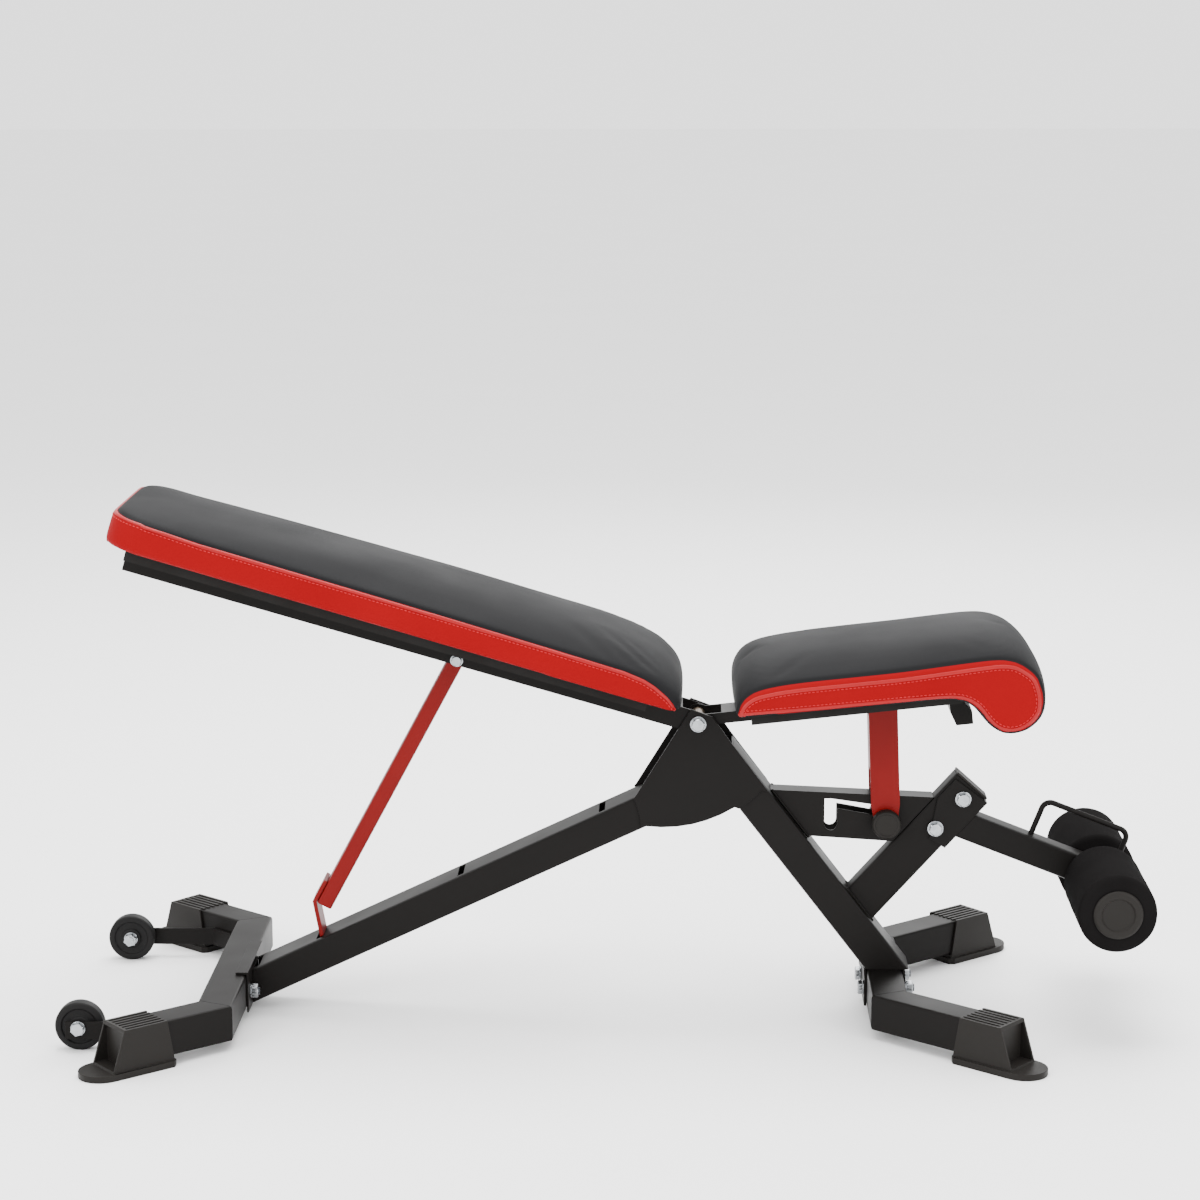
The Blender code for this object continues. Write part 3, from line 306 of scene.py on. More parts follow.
@dataclass(frozen=True)
class Finish:
    """A surface with a fine grain and slow changes of tone.

    Attributes:
        name: The material's name.
        colour: Its main colour, sRGB hex.
        drift: The colour that its slow patches lean towards.
        roughness: Its mean roughness.
        spread: How far the roughness strays from that.
        grain_mm: The width of one grain.
        relief_mm: The height of the grain.
        patch_mm: The width of the slow patches.
        metallic: 1 for bare metal.
        ior: The index of refraction of a non-metal.
        coat: The weight of a clear coat.
        sheen: The weight of the soft sheen of fibres or cells.
        specular: The strength of a non-metal's mirror reflection, 0.5 for a bare smooth one.
    """

    name: str
    colour: str
    drift: str
    roughness: float
    spread: float = 0.05
    grain_mm: float = 1.0
    relief_mm: float = 0.03
    patch_mm: float = 70.0
    metallic: float = 0.0
    ior: float = 1.5
    coat: float = 0.0
    sheen: float = 0.0
    specular: float = 0.2

    def tone(self, tree: bpy.types.NodeTree, patches: bpy.types.NodeSocket) -> bpy.types.NodeSocket:
        """The colour, drifting from the main one to the second in patches.

        Args:
            tree: The material's node tree.
            patches: The slow patches, from 0 to 1.

        Returns:
            The colour's socket.
        """
        mix = add_node(tree, "ShaderNodeMix", {0: patches, 6: linear(self.colour), 7: linear(self.drift)},
                       data_type="RGBA")
        return mix.outputs[2]

    def height(self, tree: bpy.types.NodeTree, place: bpy.types.NodeSocket) -> bpy.types.NodeSocket:
        """The height of the grain, from 0 to 1.

        Args:
            tree: The material's node tree.
            place: The place on the surface.

        Returns:
            The height's socket.
        """
        grain = add_node(tree, "ShaderNodeTexNoise", {"Vector": place, "Scale": 1 / (self.grain_mm * MM),
                                                      "Detail": 3.0, "Roughness": 0.55})
        return grain.outputs[0]

    def build(self) -> bpy.types.Material:
        """Make the finish's material, or find it if it is made.

        Returns:
            The material.
        """
        known = bpy.data.materials.get(self.name)
        if known:
            return known
        material = bpy.data.materials.new(self.name)
        material.use_nodes = True
        tree = material.node_tree
        shader = tree.nodes["Principled BSDF"]
        place = add_node(tree, "ShaderNodeTexCoord").outputs["Object"]
        patches = add_node(tree, "ShaderNodeTexNoise", {"Vector": place, "Scale": 1 / (self.patch_mm * MM),
                                                        "Detail": 2.0}).outputs[0]
        rough = add_node(tree, "ShaderNodeMapRange", {
            0: patches, 1: 0.3, 2: 0.7, 3: self.roughness - self.spread, 4: self.roughness + self.spread})
        bump = add_node(tree, "ShaderNodeBump", {"Height": self.height(tree, place), "Strength": 1.0,
                                                 "Distance": self.relief_mm * MM})
        tree.links.new(self.tone(tree, patches), shader.inputs["Base Color"])
        tree.links.new(rough.outputs[0], shader.inputs["Roughness"])
        tree.links.new(bump.outputs[0], shader.inputs["Normal"])
        shader.inputs["Metallic"].default_value = self.metallic
        if not self.metallic:
            shader.inputs["IOR"].default_value = self.ior
            shader.inputs["Specular IOR Level"].default_value = self.specular
        shader.inputs["Coat Weight"].default_value = self.coat
        shader.inputs["Sheen Weight"].default_value = self.sheen
        return material

    def dress(self, *pieces: bpy.types.Object) -> None:
        """Give pieces this finish in place of what they had.

        Args:
            *pieces: The pieces.
        """
        for piece in pieces:
            piece.data.materials.clear()
            piece.data.materials.append(self.build())


@dataclass(frozen=True)
class PadVinyl(Finish):
    """Two colours of grained vinyl that meet at a sewn seam.

    Attributes:
        side_colour: The colour of the side vinyl, where the seam attribute is below zero.
        side_drift: The colour that its patches lean towards.
    """

    side_colour: str = "#80020a"
    side_drift: str = "#760209"

    def tone(self, tree: bpy.types.NodeTree, patches: bpy.types.NodeSocket) -> bpy.types.NodeSocket:
        """The top's colour above the seam and the side's below it.

        Args:
            tree: The material's node tree.
            patches: The slow patches, from 0 to 1.

        Returns:
            The colour's socket.
        """
        top = super().tone(tree, patches)
        side = add_node(tree, "ShaderNodeMix", {0: patches, 6: linear(self.side_colour),
                                                7: linear(self.side_drift)}, data_type="RGBA")
        seam = add_node(tree, "ShaderNodeAttribute", attribute_name="seam").outputs["Fac"]
        split = add_node(tree, "ShaderNodeMapRange", {0: seam, 1: -0.0002, 2: 0.0002})
        mix = add_node(tree, "ShaderNodeMix", {0: split.outputs[0], 6: side.outputs[2], 7: top},
                       data_type="RGBA")
        return mix.outputs[2]

    def height(self, tree: bpy.types.NodeTree, place: bpy.types.NodeSocket) -> bpy.types.NodeSocket:
        """Leather-like cells with a finer grain over them.

        Args:
            tree: The material's node tree.
            place: The place on the surface.

        Returns:
            The height's socket.
        """
        cells = add_node(tree, "ShaderNodeTexVoronoi", {"Vector": place, "Scale": 1 / (self.grain_mm * MM)})
        fine = super().height(tree, place)
        mix = add_node(tree, "ShaderNodeMix", {0: 0.4, 2: cells.outputs["Distance"], 3: fine})
        return mix.outputs[0]


# Powder coat on mild steel: a satin film with a faint orange peel.
BLACK_COAT = Finish("black_powder_coat", "#100f0e", "#151312", 0.42, 0.04, 1.4, 0.02, 90.0, ior=1.3,
                    specular=0.15)
RED_COAT = Finish("red_powder_coat", "#6c0807", "#5e0606", 0.40, 0.04, 1.4, 0.02, 60.0, ior=1.35)
# Upholstery vinyl: pressed grain, a low gloss on the top and on the sides.
PAD_VINYL = PadVinyl("upholstery_vinyl", "#141415", "#19191a", 0.60, 0.05, 1.1, 0.05, 120.0, ior=1.22,
                     specular=0.15)
RED_VINYL = Finish("red_vinyl_fold", "#8e020c", "#82020a", 0.38, 0.04, 1.1, 0.03, 50.0)
RED_THREAD = Finish("red_polyester_thread", "#b01420", "#9c0c16", 0.6, 0.05, 0.4, 0.02, 20.0)
# Closed-cell rubber foam: matt, with cells drawn coarse enough to show.
FOAM = Finish("closed_cell_foam", "#0f0e0e", "#151414", 0.97, 0.02, 1.3, 0.25, 40.0, ior=1.2, specular=0.05)
WHEEL = Finish("moulded_wheel_rubber", "#101010", "#161515", 0.55, 0.05, 0.9, 0.02, 30.0, ior=1.35)
# Injection-moulded polypropylene: satin, with a fine spark-eroded texture.
PLASTIC = Finish("moulded_black_plastic", "#171513", "#1c1a18", 0.5, 0.05, 0.7, 0.03, 50.0, ior=1.35)
# Bright zinc plate: a cloudy, faintly bluish silver.
ZINC = Finish("zinc_plate", "#a9abad", "#8f9397", 0.26, 0.07, 2.5, 0.01, 8.0, 1.0)
PLYWOOD = Finish("stained_plywood", "#0c0b0a", "#12100e", 0.8, 0.06, 3.0, 0.1, 30.0)
BRONZE = Finish("sintered_bronze", "#5e5142", "#4c4236", 0.42, 0.06, 0.5, 0.02, 8.0, 1.0)


# ---------------------------------------------------------------- frame parts


# Coated or moulded parts that a class of their own makes again.
MADE_ANEW = ("adjuster_knob", "roller_end_cap", "handle_loop")
NODE_SLOTS = {row["node"]: row["material_slot"] for row in frame["record"]["subparts"]}


@dataclass
class Steelwork:
    """The welded frame, its plates and its moulded caps, with their edges rounded over.

    Attributes:
        edge_mm: The rounding on a sheared or sawn edge.
        moulded_edge_mm: The rounding on a moulded edge.
        sharpest: Edges that turn more than this many degrees are rounded.
    """

    edge_mm: float = 0.6
    moulded_edge_mm: float = 0.9
    sharpest: float = 25.0

    def refined(self, node: str, finish: Finish, edge_mm: float) -> None:
        """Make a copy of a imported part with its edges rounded, standing for it.

        Args:
            node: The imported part's name.
            finish: What it is finished in.
            edge_mm: The rounding of its edges.
        """
        maker = bmesh.new()
        maker.from_mesh(frame["nodes"][node].data)
        bmesh.ops.remove_doubles(maker, verts=maker.verts, dist=1e-5)
        bmesh.ops.dissolve_limit(maker, angle_limit=math.radians(0.5), verts=maker.verts, edges=maker.edges)
        least = math.radians(self.sharpest)
        edges = [e for e in maker.edges if e.is_manifold and e.calc_face_angle(0) > least]
        bmesh.ops.bevel(maker, geom=edges, offset=edge_mm * MM, segments=2, profile=0.5,
                        affect="EDGES", clamp_overlap=True)
        made = from_bmesh(maker, node + "_finished", 50.0)
        made.modifiers.new("flat_faces", "WEIGHTED_NORMAL").keep_sharp = True
        baked(made)
        finish.dress(made)
        self.stand_for(made, node)

    @staticmethod
    def stand_for(piece: bpy.types.Object, node: str) -> None:
        """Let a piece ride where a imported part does, and hide that part.

        Args:
            piece: The piece.
            node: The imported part's name.
        """
        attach(piece, frame["nodes"][node]["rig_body"])
        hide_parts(node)

    def build(self) -> int:
        """Finish every tube, plate, channel and cap.

        Returns:
            How many pieces were made.
        """
        coats = {
            "black_paint": (BLACK_COAT, self.edge_mm),
            "red_paint": (RED_COAT, self.edge_mm),
            "black_plastic": (PLASTIC, self.moulded_edge_mm),
        }
        chosen = [n for n, slot in NODE_SLOTS.items() if slot in coats and not n.startswith(MADE_ANEW)]
        for node in chosen:
            finish, edge = coats[NODE_SLOTS[node]]
            self.refined(node, finish, edge)
        return len(chosen)


@dataclass
class InnerParts:
    """What carries the pads and turns out of sight."""

    def build(self) -> None:
        """Finish the boards, the sleeve, the bush and the axle."""
        nodes = frame["nodes"]
        PLYWOOD.dress(nodes["back_board"], nodes["seat_board"])
        BRONZE.dress(nodes["pivot_sleeve"], nodes["strut_bush"])
        ZINC.dress(nodes["roller_axle"], nodes["back_pad_screw_1"], nodes["back_pad_screw_2"])


# ---------------------------------------------------------------- pads


@dataclass
class PadCover:
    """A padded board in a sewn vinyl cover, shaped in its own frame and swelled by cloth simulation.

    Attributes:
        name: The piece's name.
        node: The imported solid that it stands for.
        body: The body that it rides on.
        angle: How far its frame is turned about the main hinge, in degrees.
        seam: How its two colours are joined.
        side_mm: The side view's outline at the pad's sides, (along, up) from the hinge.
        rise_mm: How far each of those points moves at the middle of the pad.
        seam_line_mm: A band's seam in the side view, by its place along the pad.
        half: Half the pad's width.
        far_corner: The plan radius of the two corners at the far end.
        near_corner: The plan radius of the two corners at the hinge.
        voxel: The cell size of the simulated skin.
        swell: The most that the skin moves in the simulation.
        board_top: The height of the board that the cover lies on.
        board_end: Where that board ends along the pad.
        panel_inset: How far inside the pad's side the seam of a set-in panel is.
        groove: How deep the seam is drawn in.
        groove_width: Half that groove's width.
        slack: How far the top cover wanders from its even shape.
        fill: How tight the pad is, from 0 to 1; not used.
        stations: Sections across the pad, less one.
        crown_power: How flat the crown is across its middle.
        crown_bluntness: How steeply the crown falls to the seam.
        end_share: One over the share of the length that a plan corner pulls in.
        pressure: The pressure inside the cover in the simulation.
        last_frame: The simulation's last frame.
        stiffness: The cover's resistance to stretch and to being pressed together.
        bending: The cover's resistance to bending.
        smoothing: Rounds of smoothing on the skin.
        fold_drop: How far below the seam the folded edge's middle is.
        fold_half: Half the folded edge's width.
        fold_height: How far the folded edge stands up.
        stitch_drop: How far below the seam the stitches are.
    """

    name: str
    node: str
    body: str
    angle: float
    seam: Seam
    side_mm: list[tuple[float, float]]
    rise_mm: list[tuple[float, float]]
    seam_line_mm: list[tuple[float, float]]
    half: float = 0.132
    far_corner: float = 0.0
    near_corner: float = 0.0
    voxel: float = 0.0045
    swell: float = 0.005
    board_top: float = 0.027
    board_end: float = 0.0
    panel_inset: float = 0.0025
    groove: float = 0.0014
    groove_width: float = 0.0026
    slack: float = 0.0009
    fill: float = 0.8
    stations: int = 36
    crown_power: float = 2.7
    crown_bluntness: float = 0.62
    end_share: float = 12.0
    pressure: float = 4.0
    last_frame: int = 20
    stiffness: float = 25.0
    bending: float = 2.0
    smoothing: int = 4
    fold_drop: float = 0.0026
    fold_half: float = 0.0022
    fold_height: float = 0.0009
    stitch_drop: float = 0.0066

    @property
    def to_world(self) -> Matrix:
        """From the pad's own frame to the bench's."""
        pivot = Vector(next(j for j in frame["joints"] if j["name"] == "backrest_raise")["pos_m"])
        return Matrix.Translation(pivot) @ Matrix.Rotation(math.radians(self.angle), 4, "Y")

    def section(self, share: float) -> list[Vector]:
        """The closed side-view outline at one place across the pad.

        Args:
            share: The place as a share of the half width, from -1 to 1.

        Returns:
            The outline's points.
        """
        y = self.half * share
        crown = (1 - abs(share) ** self.crown_power) ** self.crown_bluntness
        points = []
        for (x, z), (dx, dz) in zip(self.side_mm, self.rise_mm):
            points.append(Vector((x + dx * crown, 0, z + dz * crown)) * MM)
        ends = min(p.x for p in points), max(p.x for p in points)
        far, near = self.corner_loss(y, self.far_corner), self.corner_loss(y, self.near_corner)
        span = ends[1] - ends[0]
        for point in points:
            t = (point.x - ends[0]) / span
            point.x += far * max(0.0, 1 - t * self.end_share)
            point.x -= near * max(0.0, 1 - (1 - t) * self.end_share)
            point.y = y
        return smooth_curve(points, 4, True)

    def corner_loss(self, y: float, radius: float) -> float:
        """How far a plan corner cuts the pad's end back.

        Args:
            y: The distance from the pad's middle.
            radius: The corner's radius.

        Returns:
            The cut.
        """
        over = abs(y) - (self.half - radius)
        if over <= 0 or radius <= 0:
            return 0.0
        return radius - math.sqrt(max(radius * radius - over * over, 0.0))

    def seam_height(self, x: float | np.ndarray) -> float | np.ndarray:
        """The seam's height above the hinge at a place along a banded pad."""
        xs, zs = zip(*self.seam_line_mm)
        return np.interp(np.asarray(x) / MM, xs, zs) * MM

    def seam_distances(self, points: np.ndarray) -> np.ndarray:
        """How far points of the skin are past the seam, above zero on the top cover.

        Args:
            points: The points, one in each row.

        Returns:
            One distance for each point.
        """
        if self.seam is Seam.BAND:
            return points[:, 2] - self.seam_height(points[:, 0])
        return (self.half - self.panel_inset) - np.abs(points[:, 1])

    def rough_skin(self) -> bpy.types.Object:
        """The lofted pad, a little smaller than the finished one.

        Returns:
            The pad's first skin.
        """
        maker = bmesh.new()
        turns = [math.pi / 2 * (2 * i / self.stations - 1) for i in range(self.stations + 1)]
        shares = [math.sin(turn) * 0.9999 for turn in turns]
        add_rings(maker, [self.section(share) for share in shares], False)
        made = from_bmesh(maker, self.name)
        remesh = made.modifiers.new("even_skin", "REMESH")
        remesh.mode = "VOXEL"
        remesh.voxel_size = self.voxel
        return baked(made)

    def settle(self, made: bpy.types.Object) -> None:
        """Swell the skin between its seams by cloth simulation, then cap each point's travel.

        Args:
            made: The rough skin, which is changed.
        """
        mesh = made.data
        before = np.empty(len(mesh.vertices) * 3, np.float32)
        mesh.vertices.foreach_get("co", before)
        before = before.reshape(-1, 3)
        held = made.vertex_groups.new(name="held")
        sewn = np.abs(self.seam_distances(before)) < 0.9 * self.voxel
        held.add(np.flatnonzero(sewn | self.on_board(before)).tolist(), 1.0, "REPLACE")
        cloth = made.modifiers.new("swell", "CLOTH")
        settings = cloth.settings
        settings.use_pressure = True
        settings.uniform_pressure_force = self.pressure
        settings.vertex_group_mass = "held"
        settings.effector_weights.gravity = 0.0
        settings.tension_stiffness = self.stiffness
        settings.compression_stiffness = self.stiffness
        settings.bending_stiffness = self.bending
        cloth.point_cache.frame_start = 1
        cloth.point_cache.frame_end = self.last_frame
        for step in range(1, self.last_frame + 1):
            bpy.context.scene.frame_set(step)
        graph = bpy.context.evaluated_depsgraph_get()
        settled = made.evaluated_get(graph).data
        after = np.empty(len(before) * 3, np.float32)
        settled.vertices.foreach_get("co", after)
        moved = after.reshape(-1, 3) - before
        length = np.linalg.norm(moved, axis=1, keepdims=True)
        moved *= np.minimum(1.0, self.swell / np.maximum(length, 1e-9))
        made.modifiers.clear()
        made.vertex_groups.clear()
        mesh.vertices.foreach_set("co", (before + moved).ravel())
        mesh.update()
        bpy.context.scene.frame_set(1)

    def on_board(self, points: np.ndarray) -> np.ndarray:
        """Which points lie on the flat underside, over the board."""
        return (points[:, 2] < self.board_top + 0.8 * self.voxel) & (points[:, 0] < self.board_end)

    def finish_skin(self, made: bpy.types.Object) -> None:
        """Smooth the skin, sink the seam, and record each point's distance from it.

        Args:
            made: The skin, which is changed.
        """
        maker = bmesh.new()
        maker.from_mesh(made.data)
        for _ in range(self.smoothing):
            bmesh.ops.smooth_vert(maker, verts=maker.verts, factor=0.5, use_axis_x=True,
                                  use_axis_y=True, use_axis_z=True)
        maker.to_mesh(made.data)
        maker.free()
        fine = made.modifiers.new("fine_skin", "SUBSURF")
        fine.levels = 1
        fine.render_levels = 1
        baked(made)
        mesh = made.data
        points = np.empty(len(mesh.vertices) * 3, np.float32)
        normals = np.empty_like(points)
        mesh.vertices.foreach_get("co", points)
        mesh.vertex_normals.foreach_get("vector", normals)
        points, normals = points.reshape(-1, 3), normals.reshape(-1, 3)
        seams = self.seam_distances(points).astype(np.float32)
        groove = self.groove * np.exp(-(seams / self.groove_width) ** 2)
        slack = np.array([noise.noise(Vector(point) * 9.0) for point in points]) * self.slack
        slack *= np.clip(seams / 0.02, 0, 1)
        moved = points + normals * (slack - groove)[:, None]
        mesh.vertices.foreach_set("co", moved.astype(np.float32).ravel())
        mesh.attributes.new("seam", "FLOAT", "POINT").data.foreach_set("value", seams)
        mesh.shade_smooth()
        mesh.update()

    def traces(self, drop: float) -> list[tuple[bool, list[tuple[Vector, Vector]]]]:
        """Places for rays that find a line beside the seam.

        Args:
            drop: How far below or inside the seam the line runs.

        Returns:
            For each line, whether it closes on itself, and its ray origins and directions.
        """
        if self.seam is Seam.PANEL:
            outline = smooth_curve([Vector((x * MM, 0, z * MM)) for x, z in self.side_mm], 8, True)
            centre_drop = drop + 0.003  # the panel's flat face starts inside its outline
            lines = []
            for side in Side:
                rays = []
                for i, point in enumerate(outline):
                    along = (outline[(i + 1) % len(outline)] - outline[i - 1]).normalized()
                    inward = Vector((along.z, 0, -along.x))
                    spot = point + inward * centre_drop
                    rays.append((Vector((spot.x, side.value * 0.3, spot.z)), Vector((0, -side.value, 0))))
                lines.append((True, rays))
            return lines
        start, end = self.seam_line_mm[-1][0] * MM - 0.004, self.seam_line_mm[0][0] * MM
        corner = self.far_corner
        straight = np.linspace(start, end + corner, 150)
        clear = 0.3  # a start outside the pad
        rays = [(Vector((x, -clear, self.seam_height(x) - drop)), Vector((0, 1, 0))) for x in straight]
        far = end + corner
        high = self.seam_height(end) - drop
        for turn in np.linspace(0, math.pi / 2, 12)[1:]:
            out = Vector((-math.sin(turn), -math.cos(turn), 0))
            rays.append((Vector((far, -(self.half - corner), high)) + out * 0.2, -out))
        near_side = rays.copy()
        for y in np.linspace(-(self.half - corner), self.half - corner, 50)[1:-1]:
            rays.append((Vector((end - 0.2, y, high)), Vector((1, 0, 0))))
        mirrored = [(Vector((o.x, -o.y, o.z)), Vector((d.x, -d.y, d.z))) for o, d in reversed(near_side)]
        return [(False, rays + mirrored)]

    def found_lines(self, skin: BVHTree, drop: float) -> list[tuple[bool, list[tuple[Vector, Vector]]]]:
        """The points and normals where those rays meet the skin.

        Args:
            skin: The finished skin.
            drop: How far below or inside the seam the lines run.

        Returns:
            For each line, whether it closes on itself, and its points and normals.
        """
        lines = []
        for closed, rays in self.traces(drop):
            hits = [skin.ray_cast(origin, way) for origin, way in rays]
            lines.append((closed, [(hit[0], hit[1]) for hit in hits if hit[0] is not None]))
        return lines

    def fold(self, skin: BVHTree) -> bpy.types.Object:
        """The folded edge of the side vinyl, a flat welt just below the seam.

        Args:
            skin: The finished skin, to lay the fold on.

        Returns:
            The fold as one piece.
        """
        maker = bmesh.new()
        for closed, line in self.found_lines(skin, self.fold_drop):
            rings = []
            last = len(line) - 1
            for i, (place, out) in enumerate(line):
                before = line[i - 1][0] if closed or i else place
                after = line[(i + 1) % len(line)][0] if closed or i < last else place
                along = (after - before).normalized()
                across = out.cross(along).normalized()
                ring = []
                for k in range(8):
                    t = 2 * math.pi * k / 8
                    ring.append(place + across * math.cos(t) * self.fold_half
                                + out * math.sin(t) * self.fold_height)
                rings.append(ring)
            add_rings(maker, rings, closed)
        made = from_bmesh(maker, self.name + "_seam_fold", 80.0)
        RED_VINYL.dress(made)
        return made

    def stitches(self, skin: BVHTree) -> bpy.types.Object:
        """The row of stitches below the fold.

        Args:
            skin: The finished skin, to lay the stitches on.

        Returns:
            The stitches as one piece.
        """
        maker = bmesh.new()
        for closed, line in self.found_lines(skin, self.stitch_drop):
            points = [maker.verts.new(place + out * 0.0001) for place, out in line]
            for first, second in zip(points, points[1:]):
                maker.edges.new((first, second))
            if closed:
                maker.edges.new((points[-1], points[0]))
        mesh = bpy.data.meshes.new(self.name + "_stitches")
        maker.to_mesh(mesh)
        maker.free()
        made = new_object(self.name + "_stitches", mesh)
        BEADS.lay(made, RED_THREAD, spacing=0.0050, length=0.0037, width=0.0014, height=0.0012)
        return made

    def build(self) -> list[bpy.types.Object]:
        """Make the cover, its folded edge and its stitches.

        Returns:
            The three pieces, the cover first.
        """
        made = self.rough_skin()
        self.settle(made)
        self.finish_skin(made)
        maker = bmesh.new()
        maker.from_mesh(made.data)
        skin = BVHTree.FromBMesh(maker)
        maker.free()
        pieces = [made, self.fold(skin), self.stitches(skin)]
        for piece in pieces:
            piece.data.transform(self.to_world)
            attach(piece, self.body)
        PAD_VINYL.dress(made)
        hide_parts(self.node)
        return pieces


# ---------------------------------------------------------------- geometry nodes


class BeadTree:
    """A node tree that lays small rounded beads along the edges of a mesh: stitches or weld ripples."""

    def __init__(self, name: str) -> None:
        """Build the tree.

        Args:
            name: The tree's name.
        """
        tree = bpy.data.node_groups.new(name, "GeometryNodeTree")
        self.tree = tree
        face = tree.interface
        face.new_socket("Geometry", in_out="INPUT", socket_type="NodeSocketGeometry")
        face.new_socket("Geometry", in_out="OUTPUT", socket_type="NodeSocketGeometry")
        for label in ("Spacing", "Length", "Width", "Height"):
            face.new_socket(label, in_out="INPUT", socket_type="NodeSocketFloat")
        face.new_socket("Material", in_out="INPUT", socket_type="NodeSocketMaterial")
        given = add_node(tree, "NodeGroupInput").outputs
        curve = add_node(tree, "GeometryNodeMeshToCurve", {"Mesh": given["Geometry"]})
        even = add_node(tree, "GeometryNodeResampleCurve", {
            "Curve": curve.outputs[0], "Length": given["Spacing"]}, mode="LENGTH")
        bead = add_node(tree, "GeometryNodeMeshUVSphere", {"Segments": 8, "Rings": 5, "Radius": 0.5})
        size = add_node(tree, "ShaderNodeCombineXYZ", {"X": given["Length"], "Y": given["Width"],
                                                       "Z": given["Height"]})
        tangent = add_node(tree, "GeometryNodeInputTangent")
        turn = add_node(tree, "FunctionNodeAlignRotationToVector", {"Vector": tangent.outputs[0]}, axis="X")
        laid = add_node(tree, "GeometryNodeInstanceOnPoints", {
            "Points": even.outputs[0], "Instance": bead.outputs[0], "Rotation": turn.outputs[0],
            "Scale": size.outputs[0]})
        real = add_node(tree, "GeometryNodeRealizeInstances", {"Geometry": laid.outputs[0]})
        dressed = add_node(tree, "GeometryNodeSetMaterial", {"Geometry": real.outputs[0],
                                                             "Material": given["Material"]})
        add_node(tree, "NodeGroupOutput", {"Geometry": dressed.outputs[0]})

    def lay(self, made: bpy.types.Object, finish: Finish, **sizes: float) -> None:
        """Turn an object's edges into rows of beads.

        Args:
            made: An object whose mesh has edges only.
            finish: The beads' finish.
            **sizes: The spacing, length, width and height of a bead.
        """
        laid = made.modifiers.new("beads", "NODES")
        laid.node_group = self.tree
        for item in self.tree.interface.items_tree:
            if item.in_out == "INPUT" and item.name.lower() in sizes:
                laid[item.identifier] = sizes[item.name.lower()]
            elif item.in_out == "INPUT" and item.name == "Material":
                laid[item.identifier] = finish.build()
        baked(made)
        made.data.shade_smooth()


BEADS = BeadTree("beads_along_edges")


# ---------------------------------------------------------------- fasteners


# (radius of the thread, radius of the washer), by the first word of a bolt's name.
PLAIN_BOLT = (0.005, 0.009)
BOLT_SIZES = {"strut": (0.004, 0.008), "link": (0.004, 0.008), "main": (0.005, 0.010), "hold": (0.005, 0.010)}


